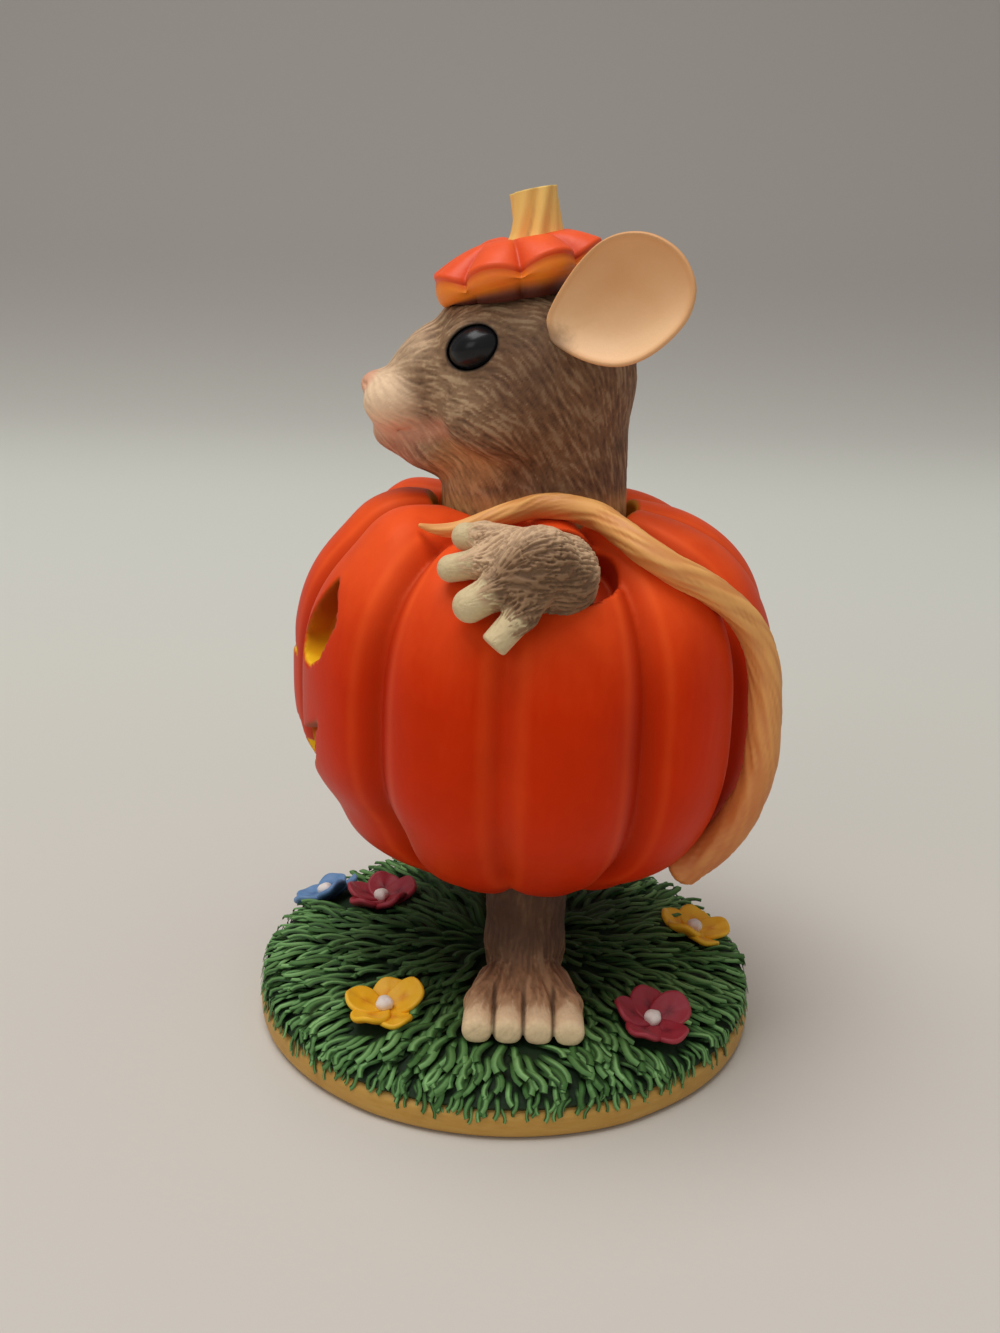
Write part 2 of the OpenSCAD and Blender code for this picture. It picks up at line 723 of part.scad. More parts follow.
// Scalloped lid cut from the top of a pumpkin: a slanted wall under a lobed skin
module hat_lid() {
    columns = lid_lobe_count * lid_lobe_step_count;
    function dip(i) = pow(abs(2 * (i % lid_lobe_step_count) / lid_lobe_step_count - 1), 2);
    function lid_ring(share, z, fall) = [for (i = [0 : columns - 1])
        let (turn = i * 360 / columns, r = share * lid_d / 2 * (1 - lid_scallop_share * dip(i)))
        [r * cos(turn), r * sin(turn), z - fall * dip(i)]];
    rise = lid_h - lid_edge_h;
    fall = lid_scallop_share * lid_edge_h;
    rings = [for (s = lid_ring_shares) lid_ring(s[0], s[1] * lid_edge_h + s[2] * rise, s[3] * fall)];
    color("tomato")
        at_lid() {
            difference() {
                ring_skin([0, 0, 0], rings, [0, 0, lid_h]);
                translate(stem_at) {
                    translate([0, 0, -stem_peg_l - seat_gap])
                        cylinder(d = stem_peg_d + 2 * seat_gap, h = stem_peg_l + cut, $fn = round_fn);
                    cylinder(d = stem_flare_d + 2 * seat_gap, h = cut, $fn = round_fn);
                }
            }
            translate([0, 0, -lid_peg_l])
                cylinder(d = lid_peg_d, h = lid_peg_l + lid_edge_h / 4, $fn = round_fn);
        }
}

// Stem: its flared foot, its place behind the lid's middle and its level in the lid
stem_flare_d = 1.15 * stem_d;
stem_at = [0, stem_back_share * lid_d, (1 - stem_ridge_share) * lid_h];

module hat_stem() {
    ridge_points = [for (i = [0 : 4 * stem_ridge_count - 1])
        let (turn = i * 90 / stem_ridge_count)
        let (r = stem_d / 2 * (1 - stem_ridge_share * (1 - cos(stem_ridge_count * turn))))
        [r * cos(turn), r * sin(turn)]];
    color("burlywood")
        at_lid() {
            translate(stem_at) {
                difference() {
                    linear_extrude(stem_h, twist = stem_twist_angle, scale = stem_top_share, slices = 6)
                        polygon(ridge_points);
                    translate([0, 0, stem_h])
                        rotate([0, 14, 0])
                            translate([-stem_d, -stem_d, 0])
                                cube([2 * stem_d, 2 * stem_d, stem_d]);
                }
                cylinder(d1 = stem_flare_d, d2 = 0.7 * stem_d, h = stem_d / 4, $fn = round_fn);
                translate([0, 0, -stem_peg_l])
                    cylinder(d = stem_peg_d, h = stem_peg_l + cut, $fn = round_fn);
            }
        }
}

// Left arm: it leaves the sleeve hole and lays its paw over the shoulder
module arm_form() {
    n = pumpkin_normal(sleeve_angles[0], sleeve_angles[1]);
    up = pumpkin_up(sleeve_angles[0], sleeve_angles[1]);
    mouth = on_pumpkin(sleeve_angles[0], sleeve_angles[1], 0) - arm_drop * up;
    bottom = mouth - (sleeve_depth - arm_d / 2) * n;
    elbow = mouth + 0.15 * arm_d * n;
    wrist = on_pumpkin(wrist_angles[0], wrist_angles[1], 0.4 * arm_d + paw_lift);
    limb(bottom, arm_d, elbow, arm_d);
    limb(elbow, arm_d, wrist, 0.8 * arm_d);
    for (finger = finger_angles) {
        knuckle = on_pumpkin(finger[0][0], finger[0][1], knuckle_d / 2 + paw_lift);
        tip = on_pumpkin(finger[1][0], finger[1][1], finger_d / 2 + paw_lift);
        limb(wrist, 0.8 * arm_d, knuckle, knuckle_d);
        limb(knuckle, 0.8 * knuckle_d, tip, finger_d);
    }
    at_skin(sleeve_angles[0], sleeve_angles[1])
        translate([0, -arm_drop, -sleeve_depth - arm_peg_l])
            cylinder(d = arm_peg_d, h = arm_peg_l + arm_d / 2, $fn = round_fn);
    rod(bottom - (arm_d / 2) * n, bottom, 0.4 * arm_d);
}

module arm(side) {
    color("gray")
        on_side(side)
            arm_form();
}

module left_arm() {
    arm(1);
}

module right_arm() {
    arm(-1);
}

// Point between b and c on a smooth curve through four neighbours
function smooth(a, b, c, d, s) =
    let (bend = 2 * a - 5 * b + 4 * c - d, twist = 3 * b - a - 3 * c + d)
    b + ((c - a) * s + bend * pow(s, 2) + twist * pow(s, 3)) / 2;

// Tail laid over the pumpkin's crests from its root to its fine tip
module tail_form() {
    last = len(tail_angles) - 1;
    route = [for (k = [0 : last]) [tail_angles[k][0], tail_angles[k][1], tail_thickness_shares[k]]];
    stations = [for (k = [0 : last - 1], s = [0 : tail_step_count - 1])
        smooth(route[max(0, k - 1)], route[k], route[k + 1], route[min(last, k + 2)],
            s / tail_step_count)];
    middles = [for (p = stations) on_pumpkin(p[0], p[1], tail_radius(p[2]) + seat_gap)];
    end = route[last];
    tip = on_pumpkin(end[0], end[1], tail_radius(end[2]) + seat_gap);
    all = concat(middles, [tip]);
    count = len(middles);
    rings = [for (k = [0 : count - 1])
        let (way = all[k + 1] - all[max(0, k - 1)])
        let (along = way / norm(way))
        let (skin = pumpkin_normal(stations[k][0], stations[k][1]))
        let (lean = skin - (skin * along) * along)
        let (up = lean / norm(lean))
        let (across = cross(along, up))
        [for (i = [0 : tail_side_count - 1])
            let (turn = i * 360 / tail_side_count)
            middles[k] + tail_radius(stations[k][2]) * (cos(turn) * up + sin(turn) * across)]];
    start_way = (all[1] - all[0]) / norm(all[1] - all[0]);
    ring_skin(all[0] - tail_radius(0.3) * start_way, rings, tip);
}

module tail() {
    color("navajowhite") {
        tail_form();
        rod(tail_root, tail_root + tail_peg_l * tail_inward, tail_peg_d / 2);
    }
}

// One flower with five petals that tilt up, a hub and a stalk
module flower(index, tint) {
    petal_d = flower_d / 2 * (1 - petal_share / 2);
    color(tint)
        at_flower(index) {
            cylinder(d = flower_d / 2, h = hub_share * petal_t, $fn = round_fn);
            for (k = [0 : petal_count - 1])
                rotate([0, 0, k * 360 / petal_count])
                    translate([petal_share * flower_d, 0, petal_t / 2])
                        rotate([0, -petal_tilt_angle, 0])
                            cylinder(d = petal_d, h = petal_t, $fn = round_fn);
            translate([0, 0, -stalk_l])
                cylinder(d = stalk_d, h = stalk_l + petal_t / 2, $fn = round_fn);
        }
}

module blue_flower() {
    flower(0, "steelblue");
}

module rear_red_flower() {
    flower(1, "firebrick");
}

module side_yellow_flower() {
    flower(2, "gold");
}

module side_red_flower() {
    flower(3, "firebrick");
}

module rear_yellow_flower() {
    flower(4, "gold");
}

// Raised white centres of the five flowers
module flower_centres() {
    cap_r = (pow(centre_d / 2, 2) + pow(centre_h, 2)) / (2 * centre_h);
    color("white")
        for (index = [0 : len(flower_angles) - 1])
            at_flower(index)
                translate([0, 0, hub_share * petal_t])
                    difference() {
                        translate([0, 0, centre_h - cap_r])
                            sphere(r = cap_r, $fn = round_fn);
                        translate([0, 0, -2 * cap_r])
                            cylinder(r = 2 * cap_r, h = 2 * cap_r, $fn = round_fn);
                    }
}

plinth();
turf();
left_leg();
right_leg();
pumpkin();
head();
left_ear();
right_ear();
left_eye();
right_eye();
hat_lid();
hat_stem();
left_arm();
right_arm();
tail();
blue_flower();
rear_red_flower();
side_yellow_flower();
side_red_flower();
rear_yellow_flower();
flower_centres();
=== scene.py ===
"""Painted surfaces of a cast resin mouse that wears a carved pumpkin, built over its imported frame.

Every form is worked out in millimetres in the frame's own axes and turned into metres when its mesh
is made. The mouse faces -Y and its left side is +X.
"""

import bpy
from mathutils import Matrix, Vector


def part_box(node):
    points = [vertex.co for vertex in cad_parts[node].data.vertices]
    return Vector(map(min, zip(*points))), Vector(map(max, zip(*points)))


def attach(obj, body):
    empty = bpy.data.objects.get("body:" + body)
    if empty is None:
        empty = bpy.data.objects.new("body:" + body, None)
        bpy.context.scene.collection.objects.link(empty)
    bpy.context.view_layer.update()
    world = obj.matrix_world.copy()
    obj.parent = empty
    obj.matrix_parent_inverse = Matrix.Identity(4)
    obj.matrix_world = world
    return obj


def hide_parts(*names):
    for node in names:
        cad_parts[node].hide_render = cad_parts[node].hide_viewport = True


bl_info = {
    "name": "Painted Mouse Figurine",
    "version": (1, 0, 0),
    "blender": (4, 5, 0),
    "location": "3D View > Sidebar > Figurine",
    "description": "Builds the sculpted and painted surfaces of a cast mouse figurine",
    "category": "Object",
}

import bpy
import numpy as np
from bpy.props import FloatProperty, FloatVectorProperty, IntProperty, PointerProperty
from mathutils import Matrix, Vector

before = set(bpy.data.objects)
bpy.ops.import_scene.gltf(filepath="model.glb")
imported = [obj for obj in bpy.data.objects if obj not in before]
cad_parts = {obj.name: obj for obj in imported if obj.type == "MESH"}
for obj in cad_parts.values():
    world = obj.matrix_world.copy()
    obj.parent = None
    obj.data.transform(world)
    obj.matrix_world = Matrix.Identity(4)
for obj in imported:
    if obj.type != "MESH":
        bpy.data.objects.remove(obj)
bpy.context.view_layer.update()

MM = 0.001
SIDES = (1, -1)


def node_box(name):
    """Lowest and highest corner of a CAD node in millimetres."""
    low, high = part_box(name)
    return np.array(low) / MM, np.array(high) / MM


def tint(red, green, blue):
    """Scene-linear colour of a paint that is given on the usual 0 to 255 scale."""
    shares = np.array((red, green, blue)) / 255
    return tuple(float(s / 12.92 if s < 0.04045 else ((s + 0.055) / 1.055) ** 2.4) for s in shares)


# The costume's form, as in the frame: radius, widest level, the squareness of its halves and its
# grooves, as angles round it and as shares of their full depth
BODY_LOW, BODY_HIGH = node_box("pumpkin")
BODY_R = 27.2
BODY_Y = 2.2
CROWN_H = 22.0
BELLY_H = 22.0
CROWN_POWER = 2.9
BELLY_POWER = 2.4
BODY_Z = BODY_LOW[2] + BELLY_H
BODY_TOP = BODY_Z + CROWN_H
GROOVE_ANGLES = np.array([-75, -38, -7, 26, 56, 86, 117, 148, 180, 215, 254, 285.0])
GROOVE_SHARES = np.array([1, 1, 0.62, 0.95, 1, 0.9, 1, 0.95, 1, 0.9, 1, 1])
COLLAR_R = 8.6
COLLAR_Z = BODY_TOP - 4.6
NECK_REACH = 6.2
NECK_Y = 4.4
LEG_X = 9.0
LEG_R = 4.8

# The left sleeve hole: its angles, radius and depth, and how far it sits above and behind that spot
SLEEVE = (6, 52)
SLEEVE_R = 5.7
SLEEVE_DEPTH = 6.0
SLEEVE_RISE = 1.5
SLEEVE_BACK = 0.6

# Where the costume's front stands out from its even form: the stomach and the collar by these
# lengths, the hips by less, and the underside all round
STOMACH_SWELL = 0.5
COLLAR_SWELL, COLLAR_LEVEL = 1.2, 21.5
HIP_SLIM, HIP_LEVEL = 0.85, -11
SWELL_SPAN = 3
UNDERSIDE_SWELL = 0.7

# The turf's dome
TURF_R = 29.7
TURF_FOOT_Z = 3.5
TURF_H = 5.2
TURF_POWER = 3.2
SOLE_Z = node_box("left_leg")[0][2] + 2.6

# The head: length, the skull's middle, the eyes and the seat of the hat
HEAD_L = 29.8
SKULL = np.array((0, 1.99, BODY_TOP + 14))
EYE_AT = SKULL + HEAD_L * np.array((0.188, -0.225, 0.081))
EYE_R = 2.65
LID_AT = SKULL + HEAD_L * np.array((0, -0.094, 0.245))
LID_TILT = np.radians(9.5)
HAT_UP = np.array((0, -np.sin(LID_TILT), np.cos(LID_TILT)))
LID_H = 5.3


# Random numbers and noise in plain arrays. The large primes spread a cell's numbers over all bits.

CELL_PRIMES = (73856093, 19349663, 83492791)
SEED_PRIME = 2654435761
MIXING_PRIME = 1274126177
LOW_BITS = 0xFFFFFF


def mixed_bits(cell, seed):
    """Repeatable random share for each whole-number cell."""
    x, y, z = (cell[..., k] * CELL_PRIMES[k] for k in range(3))
    bits = x ^ y ^ z ^ (seed * SEED_PRIME)
    bits = (bits ^ (bits >> 13)) * MIXING_PRIME
    bits = bits ^ (bits >> 16)
    return (bits & LOW_BITS) / float(LOW_BITS)


def cloud(points, seed=0):
    """Smooth noise from 0 to 1 with features one unit across."""
    cell = np.floor(points).astype(np.int64)
    part = points - cell
    part = part * part * (3 - 2 * part)
    total = np.zeros(len(points))
    for corner in np.ndindex(2, 2, 2):
        share = np.ones(len(points))
        for axis in range(3):
            share *= part[:, axis] if corner[axis] else 1 - part[:, axis]
        total += share * mixed_bits(cell + np.array(corner), seed)
    return total


def ramp(value, low, high):
    """Smooth step from 0 at low to 1 at high."""
    share = np.clip((value - low) / (high - low), 0, 1)
    return share * share * (3 - 2 * share)


def unit(vectors):
    """The same ways with length 1."""
    return vectors / np.maximum(np.linalg.norm(vectors, axis=-1, keepdims=True), 1e-9)


def strands(points, normals, flow, width, length, seed):
    """Height of carved hairs at each point, 0 in a groove and 1 on a ridge.

    Fine noise is averaged along the way that the hair lies, which draws it out into hairs.
    """
    stride = width * 0.6
    steps = max(2, int(length / 2 / stride))
    total = cloud(points / width, seed)
    for way in (1, -1):
        spot = points.copy()
        for _ in range(steps):
            lie = flow(spot)
            lie = unit(lie - normals * np.sum(lie * normals, axis=1, keepdims=True))
            spot = spot + way * stride * lie
            total += cloud(spot / width, seed)
    total = (total - total.mean()) / total.std()
    return ramp(total, -1.3, 1.3)


# Fields: each gives a nearly true distance from a form's surface, negative inside


def soft_union(a, b, blend):
    """Both fields' forms as one, with a fillet about one blend wide between them."""
    gap = np.maximum(blend - np.abs(a - b), 0) / blend
    return np.minimum(a, b) - gap * gap * blend / 4


def blended(forms, blend):
    """Soft union of several fields."""
    whole = forms[0]
    for form in forms[1:]:
        whole = soft_union(whole, form, blend)
    return whole


def soft_cut(a, cut, blend):
    """Field a with the form of field cut taken out of it."""
    return -soft_union(-a, cut, blend)


def ball(p, middle, radii):
    """Ellipsoid with its own radius on each axis."""
    q = (p - np.array(middle)) / np.array(radii)
    near = np.linalg.norm(q, axis=1)
    slope = np.linalg.norm(q / np.array(radii), axis=1)
    return near * (near - 1) / np.maximum(slope, 1e-9)


def limb(p, start, end, start_r, end_r):
    """Round limb that tapers from one point to another."""
    start, end = np.array(start, float), np.array(end, float)
    way = end - start
    share = np.clip((p - start) @ way / (way @ way), 0, 1)
    far = np.linalg.norm(p - start - share[:, None] * way, axis=1)
    return far - (start_r + (end_r - start_r) * share)


def pane(u, v, corners):
    """Distance from the edge of a flat outline, negative inside it."""
    best = np.full(len(u), 1e9)
    inside = np.zeros(len(u), bool)
    for k in range(len(corners)):
        (ax, ay), (bx, by) = corners[k], corners[(k + 1) % len(corners)]
        dx, dy = bx - ax, by - ay
        share = np.clip(((u - ax) * dx + (v - ay) * dy) / (dx * dx + dy * dy), 0, 1)
        best = np.minimum(best, np.hypot(u - ax - share * dx, v - ay - share * dy))
        crosses = ((ay > v) != (by > v)) & (u < ax + (v - ay) * dx / (dy if dy else 1e-9))
        inside ^= crosses
    return np.where(inside, -best, best)


# The costume's surface, so that whatever lies on it can be placed by angles


def outline(latitude):
    """Radius and height of the costume's crests at a latitude, from its widest level."""
    t = np.radians(latitude)
    power = np.where(t > 0, CROWN_POWER, BELLY_POWER)
    half = np.where(t > 0, CROWN_H, BELLY_H)
    rise = np.sin(t)
    return BODY_R * np.cos(t) ** (2 / power), half * np.sign(rise) * np.abs(rise) ** (2 / power)


def outline_normal(latitude):
    """The crests' way out at a latitude, as its radial and upright parts."""
    t = np.radians(latitude)
    power = np.where(t > 0, CROWN_POWER, BELLY_POWER)
    half = np.where(t > 0, CROWN_H, BELLY_H)
    r, z = outline(latitude)
    a = (r / BODY_R) ** (power - 1) / BODY_R
    b = np.sign(z) * np.abs(z / half) ** (power - 1) / half
    size = np.hypot(a, b)
    return a / size, b / size


def on_body(turn, latitude, out):
    """Point at an angle round the costume and a latitude, a distance out from its crests."""
    r, z = outline(latitude)
    a, b = outline_normal(latitude)
    turn = np.radians(turn)
    r = r + out * a
    return np.stack([r * np.cos(turn), r * np.sin(turn) + BODY_Y, z + out * b + BODY_Z], -1)


def body_normal(turn, latitude):
    """Way out of the costume's crests at these angles."""
    a, b = outline_normal(latitude)
    turn = np.radians(turn)
    return np.stack([a * np.cos(turn), a * np.sin(turn), b + 0 * turn], -1)


def skin_axes(turn, latitude):
    """Point on the costume with its way east, its way up the skin and its way out."""
    out = body_normal(turn, latitude)
    east = np.array((-np.sin(np.radians(turn)), np.cos(np.radians(turn)), 0))
    return on_body(turn, latitude, 0.0), east, np.cross(out, east), out


CREST_ROUND = 0.06


def lobe_edge(p):
    """0 on a lobe's crest and 1 in the groove beside it, the lobe's number and the groove's share."""
    turn = np.degrees(np.arctan2(p[:, 1] - BODY_Y, p[:, 0]))
    turn = (turn - GROOVE_ANGLES[0]) % 360 + GROOVE_ANGLES[0]
    lobe = np.clip(np.searchsorted(GROOVE_ANGLES, turn, "right") - 1, 0, len(GROOVE_ANGLES) - 2)
    first, last = GROOVE_ANGLES[lobe], GROOVE_ANGLES[lobe + 1]
    share = (turn - first) / (last - first)
    near = 1 - np.abs(2 * share - 1)
    depth = np.where(share < 0.5, GROOVE_SHARES[lobe], GROOVE_SHARES[lobe + 1])
    return 1 + CREST_ROUND - np.sqrt(near**2 + CREST_ROUND**2), lobe, depth


def body_distance(p):
    """Distance from the costume over its crests, and how far a groove fades there."""
    rho = np.maximum(np.hypot(p[:, 0], p[:, 1] - BODY_Y), 1e-6)
    z = p[:, 2] - BODY_Z
    high = np.maximum(np.abs(z), 1e-6)
    power = np.where(z > 0, CROWN_POWER, BELLY_POWER)
    half = np.where(z > 0, CROWN_H, BELLY_H)
    a = (rho / BODY_R) ** power
    b = (high / half) ** power
    fill = a + b
    size = fill ** (1 / power)
    slope = size / fill * np.hypot(a / rho, b / high)
    fade = np.minimum(1, 3 * np.sqrt(a / fill)) * (1 - 0.6 * ramp(-z, 14, 19.5))
    return (size - 1) / slope, fade


def front_swell(p):
    """How far the costume's front stands out: fuller near the collar, slimmer low down."""
    z = p[..., 2] - BODY_Z
    stomach = STOMACH_SWELL * ramp(z, -12, 0)
    collar = COLLAR_SWELL * np.exp(-(((z - COLLAR_LEVEL) / SWELL_SPAN) ** 2))
    hips = HIP_SLIM * np.exp(-(((z - HIP_LEVEL) / SWELL_SPAN) ** 2))
    front = ramp(BODY_Y - p[..., 1], 8, 16)
    return front * (stomach + collar - hips) + UNDERSIDE_SWELL * ramp(-z, 18.5, 21.5)


def body_skin(p, depth):
    """The uncarved costume: lobes, grooves and the unevenness of a hand-made mould."""
    far, fade = body_distance(p)
    edge, lobe, share = lobe_edge(p)
    swell = 0.22 * np.sin(lobe * 2.4) * (1 - edge**2)
    dip = depth * share * (0.75 * edge**2.6 + 0.35 * edge**7) - swell
    return far - front_swell(p) + fade * dip + 0.25 * (cloud(p / 7.0, 3) - 0.3)


# From a field to a closed mesh.

GRID_STEPS = {"costume": (0.42, 0.6), "head": (0.19, 0.4), "arm": (0.125, 0.3), "leg": (0.2, 0.4)}


def sculpt(name, field, low, high, quick, coarse=4):
    """Closed quad mesh of a piece's field, found on a coarse grid and refined near the surface."""
    step = GRID_STEPS[name][1 if quick else 0]
    low = np.array(low, float)
    count = np.ceil((np.array(high) - low) / (step * coarse)).astype(int)
    grid = np.stack(np.meshgrid(*[np.arange(n + 1) for n in count], indexing="ij"), -1)
    rough = field(low + grid.reshape(-1, 3) * step * coarse).reshape(grid.shape[:3])
    near = np.zeros(count, bool)
    for corner in np.ndindex(2, 2, 2):
        block = tuple(slice(c, c + n) for c, n in zip(corner, count))
        near |= np.abs(rough[block]) < 2.2 * step * coarse
    fine = rough
    for axis in range(3):
        fine = np.repeat(fine, coarse, axis)
    fine = fine[tuple(slice(0, n * coarse + 1) for n in count)].copy()
    offsets = np.array(list(np.ndindex(coarse + 1, coarse + 1, coarse + 1)))
    cells = np.argwhere(near) * coarse
    spots = np.unique((cells[:, None, :] + offsets[None]).reshape(-1, 3), axis=0)
    for batch in np.array_split(spots, max(1, len(spots) // 400000)):
        fine[tuple(batch.T)] = field(low + batch * step)
    points, quads = surface_net(fine)
    return settle(field, low + points * step, quads, step)


def surface_net(values):
    """One point in each cell that the surface crosses, joined across each crossed edge."""
    inside = values < 0
    shape = values.shape
    cells, places, quads = [], [], []
    for axis in range(3):
        first = [slice(None)] * 3
        second = [slice(None)] * 3
        first[axis], second[axis] = slice(None, -1), slice(1, None)
        start = np.argwhere(inside[tuple(first)] != inside[tuple(second)])
        end = start.copy()
        end[:, axis] += 1
        a, b = values[tuple(start.T)], values[tuple(end.T)]
        place = start.astype(float)
        place[:, axis] += a / (a - b)
        u, v = (axis + 1) % 3, (axis + 2) % 3
        ring = []
        for du, dv in ((-1, -1), (0, -1), (0, 0), (-1, 0)):
            cell = start.copy()
            cell[:, u] += du
            cell[:, v] += dv
            ring.append(np.ravel_multi_index(tuple(cell.T), shape))
            cells.append(ring[-1])
            places.append(place)
        ring = np.stack(ring, 1)
        outward = inside[tuple(start.T)]
        quads.append(np.where(outward[:, None], ring, ring[:, ::-1]))
    cells, places, quads = np.concatenate(cells), np.concatenate(places), np.concatenate(quads)
    used, index = np.unique(cells, return_inverse=True)
    hits = np.bincount(index, minlength=len(used))
    points = np.stack([np.bincount(index, places[:, k], len(used)) / hits for k in range(3)], 1)
    return points, np.searchsorted(used, quads)


def gradient(field, points, reach):
    """Way in which a field grows, from four samples round each point."""
    corners = np.array(((1, -1, -1), (-1, -1, 1), (-1, 1, -1), (1, 1, 1.0)))
    return sum(field(points + reach * c)[:, None] * c for c in corners) / (4 * reach)


def smoothed(points, quads, share):
    """Each point moved by a share of the way to the middle of its neighbours."""
    total = np.zeros_like(points)
    count = np.zeros(len(points))
    for k in range(4):
        a, b = quads[:, k], quads[:, (k + 1) % 4]
        for one, other in ((a, b), (b, a)):
            count += np.bincount(one, minlength=len(points))
            for axis in range(3):
                total[:, axis] += np.bincount(one, points[other, axis], len(points))
    return points + share * (total / count[:, None] - points)


def settle(field, points, quads, step):
    """Even out a net and pull its points back onto the field's surface."""
    for share in (0.6, 0.5, 0.4):
        points = smoothed(points, quads, share)
        slope = gradient(field, points, step * 0.2)
        size = np.maximum(np.sum(slope * slope, axis=1, keepdims=True), 0.05)
        move = -field(points)[:, None] * slope / size
        points = points + np.clip(move, -step, step)
    return points, quads


def point_normals(points, faces):
    """Outward way at each point, from the faces round it."""
    total = np.zeros_like(points)
    a, b, c, d = (points[faces[:, k]] for k in range(4))
    cross = np.cross(c - a, d - b)
    for k in range(4):
        for axis in range(3):
            total[:, axis] += np.bincount(faces[:, k], cross[:, axis], len(points))
    return unit(total)


def hoop(turn, r, z):
    """Ring round the upright axis, whose radius and height may change along it."""
    return np.stack(np.broadcast_arrays(r * np.cos(turn), r * np.sin(turn), z), -1)


def ringed(rings, first=None, last=None):
    """Closed skin through a stack of rings. Its ends are points, or the middles of the end rings."""
    rings = np.array(rings, float)
    m, n = rings.shape[:2]
    first = rings[0].mean(0) if first is None else np.array(first, float)
    last = rings[-1].mean(0) if last is None else np.array(last, float)
    points = np.concatenate([rings.reshape(-1, 3), [first, last]])
    i = np.arange(n)
    j = (i + 1) % n
    quads = [np.stack([k + i, k + j, k + n + j, k + n + i], 1) for k in n * np.arange(m - 1)]
    top = (m - 1) * n
    foot_fan = np.stack([np.full(n, m * n), j, i, i], 1)
    top_fan = np.stack([np.full(n, m * n + 1), top + i, top + j, top + j], 1)
    faces = np.concatenate([*quads, foot_fan, top_fan])
    a, b, c, d = (points[faces[:, k]] for k in range(4))
    volume = np.sum(a * np.cross(b, c)) + np.sum(a * np.cross(c, d))
    return points, faces if volume > 0 else faces[:, ::-1]


def piece(name, points, faces, traits=None):
    """Object whose mesh has these points in millimetres and these named values at its points."""
    mesh = bpy.data.meshes.new(name)
    rows = [tuple(dict.fromkeys(face)) for face in faces.tolist()]
    mesh.from_pydata((np.asarray(points) * MM).tolist(), [], rows)
    for trait, values in (traits or {}).items():
        layer = mesh.attributes.new(trait, "FLOAT", "POINT")
        layer.data.foreach_set("value", np.ascontiguousarray(values, dtype=np.float32))
    mesh.polygons.foreach_set("use_smooth", np.ones(len(rows), bool))
    mesh.update()
    made = bpy.data.objects.new(name, mesh)
    bpy.context.scene.collection.objects.link(made)
    return made


def paired(name, points, faces, traits, side, shift=(0, 0, 0)):
    """A piece of the left side, or its mirror image on the right, moved by this shift."""
    if side > 0:
        return piece(name, points, faces, traits)
    return piece(name, points * (-1, 1, 1) + shift, faces[:, ::-1], traits)


def joined(name, parts):
    """One object from several (points, faces, traits)."""
    points, faces, traits, start = [], [], {}, 0
    for spots, sides, values in parts:
        points.append(spots)
        faces.append(np.asarray(sides) + start)
        for key, value in values.items():
            traits.setdefault(key, []).append(np.broadcast_to(value, len(spots)))
        start += len(spots)
    traits = {key: np.concatenate(values) for key, values in traits.items()}
    return piece(name, np.concatenate(points), np.concatenate(faces), traits)


def settled(made, material, slot, *nodes):
    """Gives a finished piece its material and its body, and hides the CAD nodes it stands for. Its slot
    is not used.
    """
    made.data.materials.clear()
    made.data.materials.append(material)
    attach(made, "root")
    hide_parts(*nodes)


# Node graphs


class Value:
    """A number in a node graph, so that its sums are written as Python expressions."""

    def __init__(self, graph, socket):
        self.graph = graph
        self.socket = socket

    def __add__(self, other):
        return self.graph.sum_of("ADD", self, other)

    __radd__ = __add__

    def __sub__(self, other):
        return self.graph.sum_of("SUBTRACT", self, other)

    def __rsub__(self, other):
        return self.graph.sum_of("SUBTRACT", other, self)

    def __mul__(self, other):
        return self.graph.sum_of("MULTIPLY", self, other)

    __rmul__ = __mul__

    def __truediv__(self, other):
        return self.graph.sum_of("DIVIDE", self, other)

    def __pow__(self, other):
        return self.graph.sum_of("POWER", self, other)

    def at_most(self, other):
        return self.graph.sum_of("MINIMUM", self, other)

    def at_least(self, other):
        return self.graph.sum_of("MAXIMUM", self, other)

    def step(self, low, high):
        """Smooth step from 0 at low to 1 at high."""
        settings = {"interpolation_type": "SMOOTHSTEP"}
        inputs = {"Value": self, "From Min": low, "From Max": high}
        return self.graph.node("ShaderNodeMapRange", settings, inputs, "Result")


class Graph:
    """A node tree that grows by one method."""

    def __init__(self, tree):
        self.tree = tree

    def node(self, kind, settings=None, inputs=None, out=0):
        """Adds a node with its settings, then its inputs, and gives one output or several."""
        made = self.tree.nodes.new(kind)
        for key, value in (settings or {}).items():
            setattr(made, key, value)
        for key, value in (inputs or {}).items():
            socket = self.socket(made.inputs, key)
            if isinstance(value, Value):
                self.tree.links.new(value.socket, socket)
            else:
                socket.default_value = value
        if isinstance(out, tuple):
            return tuple(Value(self, self.socket(made.outputs, key)) for key in out)
        return Value(self, self.socket(made.outputs, out)) if made.outputs else made

    def socket(self, sockets, key):
        """Socket with this number, name or identifier."""
        if isinstance(key, int):
            return sockets[key]
        named = [s for s in sockets if s.name == key and s.enabled]
        exact = [s for s in sockets if s.identifier == key]
        return (named or exact)[0]

    def sum_of(self, operation, *values):
        return self.node("ShaderNodeMath", {"operation": operation}, dict(enumerate(values)))

    def arrows(self, operation, *values):
        """Vector Math."""
        return self.node("ShaderNodeVectorMath", {"operation": operation}, dict(enumerate(values)))

    def parts(self, vector, *axes):
        """Numbers of a vector along these axes, or the one number along one."""
        found = self.node("ShaderNodeSeparateXYZ", None, {"Vector": vector}, axes)
        return found if len(axes) > 1 else found[0]

    def vector(self, x, y, z):
        """Vector from three numbers."""
        return self.node("ShaderNodeCombineXYZ", None, {"X": x, "Y": y, "Z": z})


